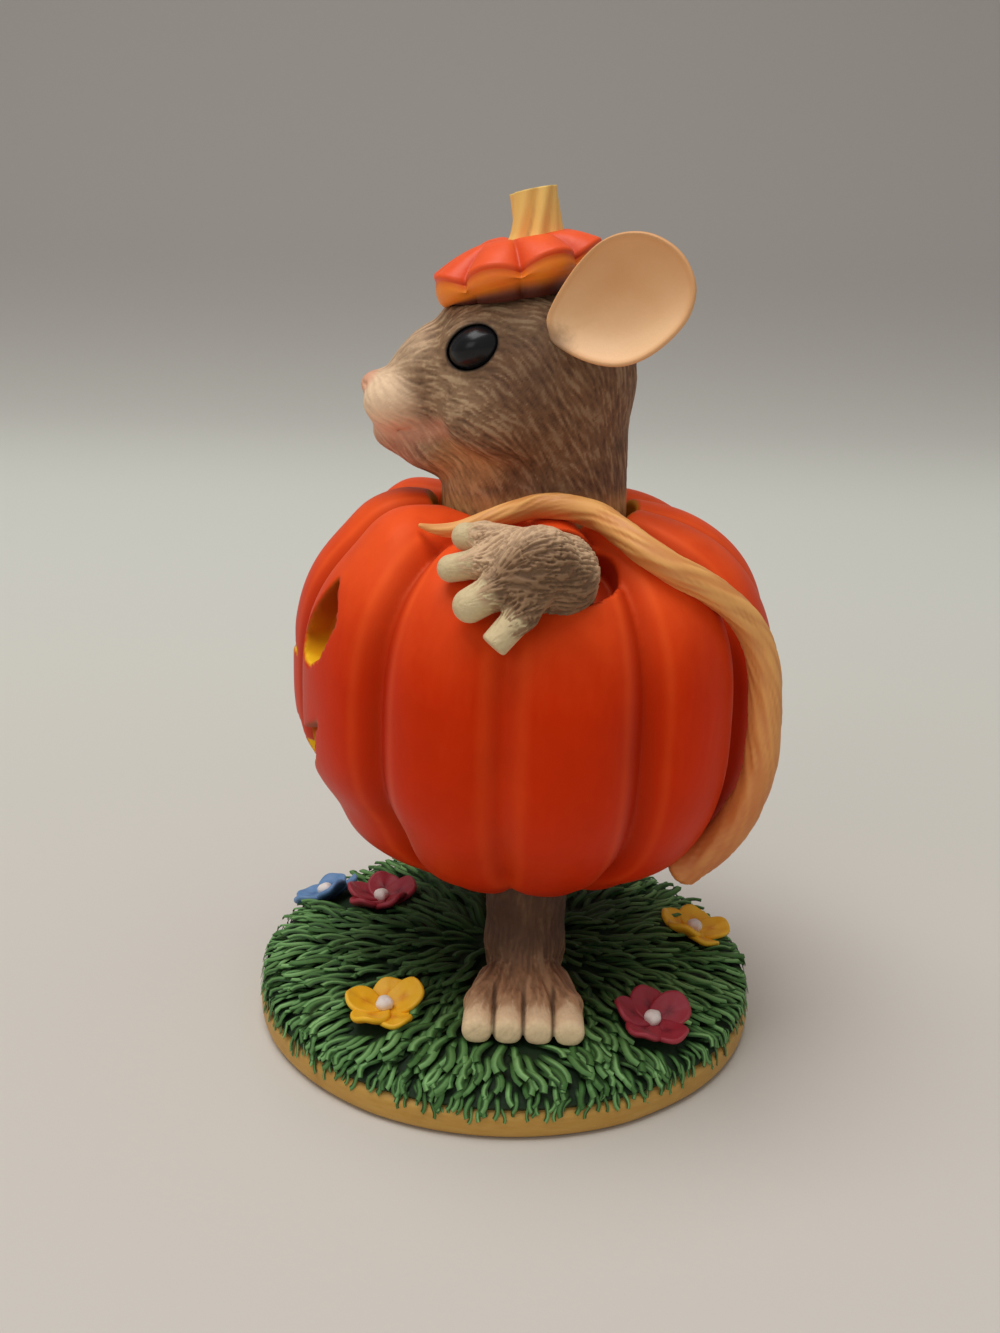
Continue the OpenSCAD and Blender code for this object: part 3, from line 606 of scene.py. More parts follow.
class Paint(Graph):
    """A material that starts from the object's own coordinates."""

    def __init__(self, name):
        self.material = bpy.data.materials.new(name)
        self.material.use_nodes = True
        super().__init__(self.material.node_tree)
        self.tree.nodes.clear()
        self.place = self.node("ShaderNodeTexCoord", out="Object")

    def trait(self, name):
        """The value that a mesh keeps at its points under this name."""
        return self.node("ShaderNodeAttribute", {"attribute_name": name}, out="Fac")

    def stretched(self, sizes):
        """The object's coordinates in units of these sizes in millimetres."""
        inputs = {"Vector": self.place, "Scale": tuple(1 / (s * MM) for s in sizes)}
        return self.node("ShaderNodeMapping", {"vector_type": "POINT"}, inputs)

    def noise(self, size, detail=2.0, roughness=0.5, distortion=0.0, where=None):
        """Noise with features this many millimetres across, or this many units of where."""
        scale = 1 / (size * MM) if where is None else 1 / size
        inputs = {
            "Vector": where or self.place,
            "Scale": scale,
            "Detail": detail,
            "Roughness": roughness,
            "Distortion": distortion,
        }
        return self.node("ShaderNodeTexNoise", None, inputs, 0)

    def mix(self, share, a, b):
        """Colour between a and b."""
        inputs = {"Factor_Float": share}
        for key, colour in (("A_Color", a), ("B_Color", b)):
            inputs[key] = colour if isinstance(colour, Value) else (*colour[:3], 1)
        settings = {"data_type": "RGBA", "clamp_factor": True}
        return self.node("ShaderNodeMix", settings, inputs, "Result_Color")

    def finish(self, colour, roughness, relief, relief_mm, settings=None):
        """Ends the material in its shader. Relief is a height from 0 to 1, and a bump this deep."""
        bump = {"Height": relief, "Strength": 1.0, "Distance": relief_mm * MM}
        normal = self.node("ShaderNodeBump", None, bump)
        inputs = {"Base Color": colour, "Roughness": roughness, "Normal": normal, **(settings or {})}
        shader = self.node("ShaderNodeBsdfPrincipled", None, inputs)
        self.node("ShaderNodeOutputMaterial", None, {"Surface": shader})
        return self.material


class Growth(Graph):
    """A Geometry Nodes tree with named inputs."""

    def __init__(self, name, sizes):
        super().__init__(bpy.data.node_groups.new(name, "GeometryNodeTree"))
        face = self.tree.interface
        face.new_socket(name="Geometry", in_out="OUTPUT", socket_type="NodeSocketGeometry")
        self.keys = {}
        kinds = {"Geometry": "Geometry", **{key: kind for key, (kind, _) in sizes.items()}}
        for key, kind in kinds.items():
            made = face.new_socket(name=key, in_out="INPUT", socket_type=f"NodeSocket{kind}")
            self.keys[key] = made.identifier
        self.values = {key: value for key, (_, value) in sizes.items()}
        start = self.tree.nodes.new("NodeGroupInput")
        self.given = {key: Value(self, self.socket(start.outputs, self.keys[key])) for key in kinds}

    def chance(self, low, high, seed, kind="FLOAT"):
        """Random number for each point or instance."""
        inputs = {"Min": low, "Max": high, "Seed": seed}
        return self.node("FunctionNodeRandomValue", {"data_type": kind}, inputs, "Value")

    def marked(self, shape, name, value, domain="POINT"):
        """The shape with a value kept on it under this name."""
        settings = {"data_type": "FLOAT", "domain": domain}
        inputs = {"Geometry": shape, "Name": name, "Value": value}
        return self.node("GeometryNodeStoreNamedAttribute", settings, inputs)

    def turned(self, rotation, axis, angle):
        """A rotation with a further turn about one of its own axes."""
        turn = self.node("FunctionNodeAxisAngleToRotation", None, {"Axis": axis, "Angle": angle})
        inputs = {"Rotation": rotation, "Rotate By": turn}
        return self.node("FunctionNodeRotateRotation", {"rotation_space": "LOCAL"}, inputs)

    def end(self, shape, smooth=True):
        """Realizes the instances, sets the material and ends the tree."""
        real = self.node("GeometryNodeRealizeInstances", None, {0: shape})
        inputs = {"Geometry": real, "Shade Smooth": smooth}
        shaded = self.node("GeometryNodeSetShadeSmooth", None, inputs)
        inputs = {"Geometry": shaded, "Material": self.given["Material"]}
        dressed = self.node("GeometryNodeSetMaterial", None, inputs)
        out = self.tree.nodes.new("NodeGroupOutput")
        self.tree.links.new(dressed.socket, out.inputs[0])

    def grown(self, seed_object, name):
        """Plain mesh object with the tree's result. The object it grew from is removed."""
        modifier = seed_object.modifiers.new("Growth", "NODES")
        modifier.node_group = self.tree
        for key, value in self.values.items():
            modifier[self.keys[key]] = value
        bpy.context.view_layer.update()
        depsgraph = bpy.context.evaluated_depsgraph_get()
        mesh = bpy.data.meshes.new_from_object(seed_object.evaluated_get(depsgraph))
        mesh.name = name
        bpy.data.objects.remove(seed_object)
        made = bpy.data.objects.new(name, mesh)
        bpy.context.scene.collection.objects.link(made)
        return made


# Settings


def colour_setting(name, description, default):
    words = {"name": name, "description": description}
    return FloatVectorProperty(**words, default=default, subtype="COLOR", size=3, min=0, max=1)


def length_setting(name, description, default_mm):
    words = {"name": name, "description": description}
    return FloatProperty(**words, default=default_mm * MM, min=0, subtype="DISTANCE", unit="LENGTH")


class CostumeSettings(bpy.types.PropertyGroup):
    """Sizes and colours of the pumpkin costume and of the lid on the head."""

    groove: length_setting("Groove", "Depth of the grooves between the lobes", 2.0)
    carving: length_setting("Carving", "Depth of the carved face", 3.0)
    skin: colour_setting("Skin", "Orange of the lobes", tint(212, 44, 2))
    # On the costume and the lid's top this is partly dry-brushing and partly a painted highlight on the
    # upper side; it also tints the lid's cut wall.
    light: colour_setting("Light", "Orange brushed on the upper side", tint(255, 98, 40))
    # This colour is a red-brown wash in the grooves that also paints their shade, and the painted shade
    # towards the foot, in the holes and in the lid's creases.
    shade: colour_setting("Shade", "Red-brown washed into the grooves", tint(146, 26, 2))
    pocket: colour_setting("Pocket", "Yellow inside the carving", tint(252, 204, 40))
    # This colour is painted shade: the upper part of each opening and most of the collar wall.
    pocket_shade: colour_setting("Pocket Shade", "Brown-orange round the yellow", tint(168, 66, 12))
    # This colour is painted shadow at the foot of the lid's wall, where the lid meets the head.
    dark: colour_setting("Dark", "Brown under the lid", tint(84, 34, 22))


class FurSettings(bpy.types.PropertyGroup):
    """Sizes and colours of the carved fur."""

    hair: length_setting("Hair Width", "Width of one carved hair", 0.3)
    head_cut: length_setting("Head Cut", "Depth of the hairs on the head", 0.1)
    paw_cut: length_setting("Paw Cut", "Depth of the hairs on the arms", 0.26)
    leg_cut: length_setting("Leg Cut", "Depth of the hairs on the legs", 0.15)
    coat: colour_setting("Coat", "Grey-brown of the fur", tint(146, 114, 84))
    brown: colour_setting("Brown", "Warm brown of the cheeks and the neck", tint(130, 88, 58))
    light: colour_setting("Light", "Pale beige brushed over the hairs", tint(192, 160, 124))
    # Wash is also the colour of the painted shadow on the fur.
    wash: colour_setting("Wash", "Dark brown in the grooves", tint(76, 50, 35))
    muzzle: colour_setting("Muzzle", "Pale pink-beige of the muzzle", tint(246, 210, 172))
    pink: colour_setting("Pink", "Pink of the nose and the lips", tint(220, 146, 116))
    throat: colour_setting("Throat", "Straw colour of the throat", tint(216, 152, 86))
    digit: colour_setting("Digit", "Cream of the bare fingers", tint(218, 196, 152))
    toe: colour_setting("Toe", "Cream of the bare toes", tint(246, 216, 172))


class SkinSettings(bpy.types.PropertyGroup):
    """Sizes and colours of the ears, the tail and the eyes."""

    ear_wall: length_setting("Ear Wall", "Thickness of an ear", 0.9)
    ear_cup: length_setting("Ear Cup", "Depth of the hollow of an ear", 2.4)
    ear: colour_setting("Ear", "Peach inside an ear", tint(250, 204, 154))
    # This colour is the painted shade in the hollow and also the tan of the rim.
    ear_shade_and_rim: colour_setting("Ear Deep", "Tan in the hollow and on the rim", tint(224, 160, 100))
    tail: colour_setting("Tail", "Peach of the tail", tint(242, 176, 98))
    tail_shade: colour_setting("Tail Shade", "Orange-brown between its strands", tint(192, 96, 42))
    eye: colour_setting("Eye", "Black of the eyes", tint(12, 12, 15))


class StrawSettings(bpy.types.PropertyGroup):
    """Colours of the hat's stem and the gold rim."""

    straw: colour_setting("Straw", "Yellow of the stem", tint(250, 206, 112))
    straw_shade: colour_setting("Straw Shade", "Brown between the stem's ridges", tint(166, 96, 36))
    gold: colour_setting("Gold", "Ochre of the plinth", tint(192, 144, 60))
    gold_worn: colour_setting("Worn Gold", "Lighter ochre along the edges", tint(214, 172, 92))


class GrassSettings(bpy.types.PropertyGroup):
    """Sizes and colours of the carved grass."""

    blades: IntProperty(
        name="Blades", description="Blades of grass", default=2600, min=100, max=6000
    )
    length: length_setting("Length", "Length of a blade", 5.6)
    width: length_setting("Width", "Width of a blade", 1.0)
    rise: length_setting("Rise", "Height of a blade's arch above the turf", 0.5)
    # The root colour is painted shade between the blades, at their roots and under the costume.
    root: colour_setting("Root", "Nearly black green between the blades", tint(24, 44, 19))
    blade: colour_setting("Blade", "Green of the blades", tint(62, 108, 46))
    tip: colour_setting("Tip", "Mint green brushed over the blades", tint(142, 190, 120))


class FlowerSettings(bpy.types.PropertyGroup):
    """Sizes and colours of the flowers."""

    petals: IntProperty(name="Petals", description="Petals of one flower", default=5, min=3, max=8)
    reach: length_setting("Reach", "Distance from a flower's middle to a petal's tip", 4.0)
    tilt: FloatProperty(
        name="Tilt", description="Upward tilt of a petal", default=0.2, subtype="ANGLE", unit="ROTATION"
    )
    blue: colour_setting("Blue", "Blue of one flower", tint(92, 132, 178))
    red: colour_setting("Red", "Dark red of two flowers", tint(160, 42, 54))
    yellow: colour_setting("Yellow", "Yellow of two flowers", tint(244, 182, 18))
    white: colour_setting("White", "White of the centres", tint(242, 232, 222))


class StageSettings(bpy.types.PropertyGroup):
    """Light and surroundings."""

    floor: colour_setting("Floor", "Pale grey floor", tint(208, 202, 192))
    # The far floor colour is painted light that makes up for the lamp's falloff further back.
    far_floor: colour_setting("Far Floor", "Lighter floor towards the wall", tint(216, 216, 206))
    backdrop: colour_setting("Backdrop", "Grey wall behind", tint(160, 154, 148))
    sky: FloatProperty(name="Sky", description="Strength of the even light", default=0.34, min=0)
    overhead: FloatProperty(
        name="Overhead", description="Power of the soft lamp above", default=5.6, min=0, unit="POWER"
    )


SETTINGS = {
    "costume": CostumeSettings,
    "fur": FurSettings,
    "skin": SkinSettings,
    "straw": StrawSettings,
    "grass": GrassSettings,
    "flowers": FlowerSettings,
    "stage": StageSettings,
}


def chosen(context, group):
    """The scene's settings of one group."""
    return getattr(context.scene, f"figurine_{group}")


# The costume. Each opening has its place as angles, its size and its corners as shares of that size.

EYE_SPOT = (-60, 20)
EYE_SHARES = [(-0.5, -0.22), (-0.36, -0.44), (-0.02, -0.5), (0.3, -0.36), (0.5, 0.04), (0.4, 0.22)]
EYE_SHARES += [(0.06, 0.5)]
EYE_CORNERS = np.array(EYE_SHARES) * (7.2, 9.8)
NOSE_SPOT = (-90, 9)
NOSE_CORNERS = np.array(((-0.5, -0.4), (0, -0.5), (0.5, -0.4), (0, 0.5))) * (8.4, 5)
MOUTH_LATITUDE = -9.5
LIP_SHARES = [(0.5, 0.5), (0.37, 0.28), (0.26, 0.19), (0.245, -0.08), (0.135, -0.14), (0.12, 0.11)]
CHIN_SHARES = [(0.065, -0.18), (0.08, -0.5), (0.2, -0.44), (0.34, -0.26), (0.44, 0.02)]
MOUTH_SIZE = (31, 10)

# How deep the eyes and the nose are cut, how fast the collar widens upwards, how much wider than the
# leg its socket is, and how high that reaches

CUT_DEPTH = 9
COLLAR_FLARE = 0.4
SOCKET_GAP = 0.15
SOCKET_H = 4


def mouth_corners():
    """The mouth's outline: its upper edge with three gaps for teeth, then its lower edge."""
    lips = LIP_SHARES + [(-x, z) for x, z in LIP_SHARES[::-1]]
    chin = [(-x, z) for x, z in CHIN_SHARES[::-1]] + CHIN_SHARES
    return np.array(lips + chin) * MOUTH_SIZE


def flat_cut(p, spot, corners, side):
    """Opening with this outline, cut square to the costume's skin, and the height above its middle."""
    turn = -90 + side * (spot[0] + 90)
    origin, east, up, out = skin_axes(turn, spot[1])
    q = p - origin
    return np.maximum(pane(side * (q @ east), q @ up, corners), -(q @ out) - CUT_DEPTH), q @ up


def openings(p):
    """Distance from each opening of the face, and the height above its middle, as lists."""
    rise = p[:, 2] - on_body(-90, MOUTH_LATITUDE, 0.0)[2]
    found = [(np.maximum(pane(p[:, 0], rise, mouth_corners()), p[:, 1] - BODY_Y), rise)]
    found.append(flat_cut(p, NOSE_SPOT, NOSE_CORNERS, 1))
    for side in SIDES:
        found.append(flat_cut(p, EYE_SPOT, EYE_CORNERS, side))
    return np.array([cut for cut, _ in found]), np.array([level for _, level in found])


def face_cut(p):
    """Distance from the nearest opening of the face."""
    return openings(p)[0].min(0)


def opening_level(p):
    """Height above the middle of the nearest opening."""
    cuts, levels = openings(p)
    return levels[cuts.argmin(0), np.arange(len(p))]


def neck_oval(p, r):
    """Distance from an upright oval column, round at the neck and narrower towards the front."""
    flat = p * (1, 1, 0)
    return limb(flat, (0, NECK_Y, 0), (0, NECK_Y - NECK_REACH, 0), r, 0.9 * r)


def collar_cut(p):
    """Flared opening that the neck stands in."""
    wide = neck_oval(p, COLLAR_R) - COLLAR_FLARE * np.maximum(p[:, 2] - BODY_TOP + 1.4, 0)
    return np.maximum(wide, COLLAR_Z - p[:, 2])


def sleeve_cut(p):
    """Round holes that the arms come out of."""
    origin, east, up, out = skin_axes(*SLEEVE)
    holes = []
    for side in SIDES:
        q = p * (side, 1, 1) - origin - SLEEVE_RISE * up - SLEEVE_BACK * east
        wide = np.hypot(q @ east, q @ up) - SLEEVE_R
        holes.append(np.maximum(wide, -(q @ out) - SLEEVE_DEPTH))
    return np.minimum(*holes)


def socket_cut(p):
    """Round sockets in the underside that the legs stand in."""
    wide = np.hypot(np.abs(p[:, 0]) - LEG_X, p[:, 1] - BODY_Y) - LEG_R - SOCKET_GAP
    return np.maximum(wide, p[:, 2] - BODY_LOW[2] - SOCKET_H)


def costume_field(groove, carving):
    """The carved costume, for a depth of its grooves and of its face."""

    def field(p):
        skin = body_skin(p, groove)
        face = np.maximum(face_cut(p), -(skin + carving))
        body = soft_cut(skin, face, 0.35)
        body = soft_cut(body, collar_cut(p), 0.5)
        body = soft_cut(body, sleeve_cut(p), 0.5)
        return soft_cut(body, socket_cut(p), 0.3)

    return field


def costume_paint(s):
    """Satin orange: dry-brush and a painted highlight on top, wash and painted shade in the grooves,
    painted shade low down and in the holes, and yellow openings with painted shade above.
    """
    paint = Paint("pumpkin_satin_paint")
    groove, pocket, pocket_lit, dark = (paint.trait(n) for n in ("groove", "pocket", "pocket_lit", "dark"))
    patches = paint.noise(9, 3, 0.55)
    brush = paint.noise(1.0, 4, 0.6, 0.4, where=paint.stretched((1.6, 1.6, 7)))
    height = paint.parts(paint.place, "Z")
    crown = height.step((BODY_Z + 4) * MM, (BODY_TOP - 1) * MM)
    foot = 1 - height.step(BODY_LOW[2] * MM, (BODY_LOW[2] + 15) * MM)
    edge = groove.step(0.1, 0.4) * (1 - groove.step(0.4, 0.75))
    # The upper side is lighter, partly dry-brushing and partly a painted highlight; the groove edges are
    # dry-brushed lighter.
    lift = crown * (0.3 + 0.6 * patches) + (brush - 0.5) * 0.25 + edge * 0.22
    skin = paint.mix(lift, s.skin, s.light)
    # Random darker patches, and painted shade towards the foot.
    skin = paint.mix((0.58 - patches) * 0.6 + foot * 0.22, skin, s.shade)
    # A red-brown wash in the grooves, which also paints the shade there.
    skin = paint.mix(groove**2.4 * (0.3 + 0.4 * brush), skin, s.shade)
    # Yellow where the openings are lit, and brown-orange painted shade where they are not.
    inside = paint.mix(pocket_lit + (patches - 0.5) * 0.5, s.pocket_shade, s.pocket)
    colour = paint.mix(pocket, skin, inside)
    # Painted shade inside the sleeve holes and the leg sockets.
    colour = paint.mix(dark * 0.85, colour, s.shade)
    grain = paint.noise(0.35, 3)
    relief = brush * 0.6 + grain * 0.25
    rough = 0.38 + 0.16 * brush + pocket * 0.12
    gloss = {"Specular IOR Level": 0.4, "Specular Tint": (*tint(255, 150, 96), 1)}
    return paint.finish(colour, rough, relief, 0.04, gloss)


class FIGURINE_OT_costume(bpy.types.Operator):
    """Build the ribbed pumpkin with its carved face, collar and sleeve holes"""

    bl_idname = "figurine.costume"
    bl_label = "Pumpkin Costume"

    def execute(self, context):
        s = chosen(context, "costume")
        groove, carving = s.groove / MM, s.carving / MM
        field = costume_field(groove, carving)
        points, quads = sculpt("costume", field, BODY_LOW - 2, BODY_HIGH + 2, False)
        skin = body_skin(points, groove)
        edge, _, share = lobe_edge(points)
        _, fade = body_distance(points)
        face = ramp(-np.maximum(face_cut(points), -(skin + carving)) - skin, -0.25, 0.2)
        collar = ramp(-collar_cut(points) - skin, -0.3, 0.1)
        sleeves = ramp(-sleeve_cut(points) - skin, -0.15, 0.5)
        sockets = ramp(-socket_cut(points) - skin, 0, 0.5)
        # Painted light and shade in the openings: yellow at each one's lower edge and brown-orange shade
        # above it, more shade in the openings high on the face, and mostly shade on the collar wall.
        pocket_lit = 1 - ramp(opening_level(points), -1.6, 1.4)
        pocket_lit = pocket_lit * (1 - 0.85 * ramp(points[:, 2] - BODY_Z, 5.5, 8.5))
        traits = {
            "groove": ramp(edge, 0.5, 1.0) * share * np.minimum(1, fade),
            "pocket": np.maximum(face, collar),
            "pocket_lit": np.maximum(pocket_lit, 0.3 * collar),
            # Painted shade inside the sleeve holes and the leg sockets
            "dark": np.maximum(sleeves, sockets),
        }
        made = piece("pumpkin_costume", points, quads, traits)
        settled(made, costume_paint(s), "pumpkin_orange", "pumpkin")
        return {"FINISHED"}


# The head

# Balls of the skull, the cheeks, the snout and the jaw: middle and radii as shares of the head's length
HEAD_FORMS = [
    ((0, 0, 0), (0.325, 0.338, 0.318)),
    ((0.165, -0.12, -0.15), (0.155, 0.235, 0.175)),
    ((-0.165, -0.12, -0.15), (0.155, 0.235, 0.175)),
    ((0, -0.26, -0.03), (0.195, 0.27, 0.205)),
    ((0, -0.3, -0.105), (0.14, 0.3, 0.145)),
    ((0, -0.2, -0.24), (0.165, 0.285, 0.2)),
]
HEAD_BLEND = 2.4

# Limbs of the neck: their ends, their radii there and the fillet above them
NECK_FORMS = [
    ((0, NECK_Y, COLLAR_Z), (0, 3.6, 74), 7.55, 7.9, 2.2),
    ((0, NECK_Y - NECK_REACH, COLLAR_Z), (0, -2.2, 69.0), 6.7, 6.5, 1.2),
]

# The crown under the hat, then the muzzle, jaw, jowl and nose: middle, radii and fillet of each ball
CROWN = (LID_AT + (0, 0.3, -2.6), (7.7, 8.3, 3.6))
FACE_FORMS = [
    ((1.75, -13.4, 72.9), (2.75, 3.7, 2.9), 1.2),
    ((0, -11.9, 69.5), (2.9, 4.3, 2.5), 1.8),
    ((0, -8.6, 68.2), (4.2, 4.6, 2.9), 1.6),
    ((0, -15.7, 74.6), (1.65, 1.8, 1.45), 1.2),
]
BROW_SHIFT = (-1.0, 0.0, 0.0)
BROW_RADII = (2.6, 3.9, 3.3)

# Cuts and painted lines of the face: their ends and the radii there
LIP_CUTS = [
    ((0.3, -17.2, 71.6), (3.4, -12.5, 70.0), 0.02, 0.0),
    ((3.4, -12.5, 70.0), (5.6, -8.6, 71.0), 0.0, 0.2),
]
LIP_LINES = [
    ((0.3, -17.4, 71.4), (3.6, -12.6, 69.7), 0.5, 0.7),
    ((3.6, -12.6, 69.7), (5.6, -8.6, 70.8), 0.7, 0.5),
]
NOSTRIL = ((0.75, -17.7, 74.9), (1.35, -16.9, 74.75), 0.26, 0.2)

# Painted areas of the face: middle and radii of a ball, and how far inside and outside it they fade
FACE_AREAS = {
    "nose": ((0, -16.6, 74.6), (1.7, 1.7, 1.5), -0.2, 0.7),
    "chin": ((0, -12.5, 68.6), (3.4, 4.2, 2.6), -0.5, 1.5),
    "muzzle": ((1.9, -14.6, 73.0), (2.8, 3.4, 3.0), -0.6, 2.2),
    "throat": ((1.5, -4.8, 67.2), (6.0, 5.0, 4.6), -1.2, 1.6),
    "bridge": ((0.8, -12.0, 78.4), (3.0, 4.5, 2.4), -0.5, 1.5),
    # The temple area only deepens the painted shadow.
    "temple": ((9.0, -1.0, 78.0), (5, 5, 5), -2, 2),
}

# Point that the fur of the head combs away from
NOSE_TIP = np.array((0, -17.3, 76.2))

EYE_AXES = np.array([unit(np.array(way)) for way in ((0.92, 0, 0), (0, 0.92, 0.38), (0, -0.38, 0.92))])
EYE_RADII = np.array((EYE_R + 0.1, EYE_R + 0.6, EYE_R - 0.3))


def mirrored(p):
    """The same points on the mouse's left side."""
    return np.abs(p[:, :1]) * (1, 0, 0) + p * (0, 1, 1)


def eye_ring(p):
    """Distance from the eye's bead, which is a little longer than it is high."""
    return ball((mirrored(p) - EYE_AT) @ EYE_AXES.T, (0, 0, 0), EYE_RADII)


def lines(p, limbs):
    """Distance from the nearest of several limbs."""
    return np.min([limb(p, *ends) for ends in limbs], axis=0)


def head_field(p):
    q = mirrored(p)
    forms = [ball(p, SKULL + HEAD_L * middle, HEAD_L * radii) for middle, radii in np.array(HEAD_FORMS)]
    head = blended(forms, HEAD_BLEND)
    for *ends, blend in NECK_FORMS:
        head = soft_union(head, limb(p, *ends), blend)
    head = soft_union(head, np.maximum(ball(p, *CROWN), (p - LID_AT) @ HAT_UP), 1.5)
    for middle, radii, blend in FACE_FORMS:
        head = soft_union(head, ball(q, middle, radii), blend)
    head = soft_cut(head, lines(q, LIP_CUTS), 0.7)
    head = soft_cut(head, limb(q, *NOSTRIL), 0.25)
    head = soft_union(head, ball(q, EYE_AT + BROW_SHIFT, BROW_RADII), 1.0)
    head = soft_cut(head, eye_ring(p) - 0.08, 0.35)
    return np.maximum(head, COLLAR_Z - p[:, 2])


def head_lie(p):
    """Way in which the head's fur lies: back from the nose, then down over cheek and neck."""
    away = p - NOSE_TIP
    away[:, 0] *= 0.8
    fall = ramp(p[:, 1], -9, 3) * (1 - 0.55 * ramp(p[:, 2], 79, 84))
    stray = (cloud(p / 2.6, 11) - 0.5)[:, None] * (0, 0.5, 0.9)
    return unit(away) + fall[:, None] * (0, -0.1, -1.15) + stray


# The fur

# The last of these marks is painted shadow: it washes the coat dark where a piece lies in shade.
FUR_TRAITS = ("ridge", "bare", "pink", "pale", "rim", "sand", "warm", "dusk")
LINER = (0.02, 0.014, 0.012)


def fur_traits(ridge, **given):
    """A furry piece's values, with 0 for those that it has no use for."""
    return {name: given.get(name, 0 * ridge) for name in FUR_TRAITS} | {"ridge": ridge}


def fur_paint(s, name, bare_colour):
    """Fur: a coat washed dark in the grooves and dry-brushed pale on the hairs."""
    paint = Paint(name)
    ridge, bare, pink, pale, rim, sand, warm, dusk = (paint.trait(n) for n in FUR_TRAITS)
    patches = paint.noise(4.0, 3, 0.6)
    specks = paint.noise(0.4, 3, 0.6)
    hair = (ridge + (specks - 0.5) * 0.5).at_least(0.0)
    coat = paint.mix(hair.step(-0.3, 0.55), s.wash, s.coat)
    brown = paint.mix(hair.step(-0.2, 0.65), s.wash, s.brown)
    coat = paint.mix(warm * (0.7 + 0.6 * (patches - 0.3)), coat, brown)
    coat = paint.mix(hair.step(0.55, 1.05) * (0.6 + 0.4 * patches - 0.35 * warm), coat, s.light)
    # Random darker patches, and painted shadow in the wash colour.
    coat = paint.mix((0.45 - patches) * 0.7 + dusk, coat, s.wash)
    coat = paint.mix(sand * (0.5 + 0.5 * ridge), coat, s.throat)
    coat = paint.mix(pale * (0.72 + 0.28 * ridge), coat, s.muzzle)
    skin = paint.mix((specks - 0.35) * 0.5, bare_colour, s.coat)
    colour = paint.mix(bare, coat, skin)
    colour = paint.mix(pink * (0.75 + 0.3 * specks), colour, s.pink)
    colour = paint.mix(rim, colour, LINER)
    relief = ridge * 0.7 + specks * 0.3
    rough = 0.62 - rim * 0.25 + (specks - 0.5) * 0.15
    return paint.finish(colour, rough, relief, 0.05, {"Specular IOR Level": 0.25})


def furred(points, quads, lie, bare, cut, hair, length, seed, sharp=1.0, streaks=0.0):
    """Cuts hairs of this depth, width and length into a mesh, except where it is bare.

    It gives the points, the hairs' height and the bare part. Streaks let the hairs run out over the
    edge of the bare part.
    """
    normals = point_normals(points, quads)
    ridge = strands(points, normals, lie, hair, length, seed)
    fine = strands(points, normals, lie, hair * 0.62, length * 0.7, seed + 1)
    ridge = np.clip(sharp * (0.62 * ridge + 0.38 * fine - 0.5) + 0.56, 0, 1)
    bare = np.clip(bare + streaks * (0.5 - ridge) * 4 * bare * (1 - bare), 0, 1)
    points = points - normals * ((1 - ridge) * cut * (1 - bare))[:, None]
    return points, ridge, bare


class FIGURINE_OT_head(bpy.types.Operator):
    """Build the head with its muzzle, lips, eye sockets and carved fur"""

    bl_idname = "figurine.head"
    bl_label = "Head"

    def execute(self, context):
        s = chosen(context, "fur")
        low, high = node_box("head")
        below = (low[0] - 2, low[1] - 1.5, COLLAR_Z - 1)
        points, quads = sculpt("head", head_field, below, high + 2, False)
        q = mirrored(points)
        nose, chin, muzzle, throat, bridge, temple = (
            1 - ramp(ball(q, middle, radii), *fade) for middle, radii, *fade in FACE_AREAS.values()
        )
        rim = 1 - ramp(eye_ring(points), 0.2, 0.5)
        lips = lines(q, LIP_LINES)
        hem = 1 - ramp(points[:, 2], BODY_TOP - 0.5, BODY_TOP + 2.2)
        pink = np.max([0.65 * nose, 0.65 * (1 - ramp(lips, -0.4, 1.5)), 0.45 * chin], axis=0)
        pale = np.maximum(muzzle, 0.35 * bridge)
        sand = np.maximum(0.52 * throat, 0.75 * hem)
        warm = ramp(points[:, 1], -9, 1) * (1 - ramp(points[:, 2], 78, 83)) * (1 - 0.6 * hem)
        bare = np.max([rim, nose, 0.75 * muzzle, 1 - ramp(lips, 0.0, 0.8)], axis=0)
        cut, hair = s.head_cut / MM, s.hair / MM * 0.9
        points, ridge, _ = furred(points, quads, head_lie, bare, cut, hair, length=1.9, seed=5)
        # Painted shadow: the head behind the muzzle is washed darker, most at the temples, but not low
        # on the neck.
        dusk = (0.12 + 0.3 * temple) * ramp(points[:, 1], -7, -2) * (1 - hem)
        traits = fur_traits(ridge, pink=pink, pale=pale, rim=rim, sand=sand, warm=warm, dusk=dusk)
        made = piece("head_fur", points, quads, traits)
        settled(made, fur_paint(s, "head_fur_paint", s.digit), "fur", "head")
        return {"FINISHED"}


# The eyes

# Way that the left eye's pupil looks
GAZE = unit(np.array((0.86, -0.42, 0.12)))


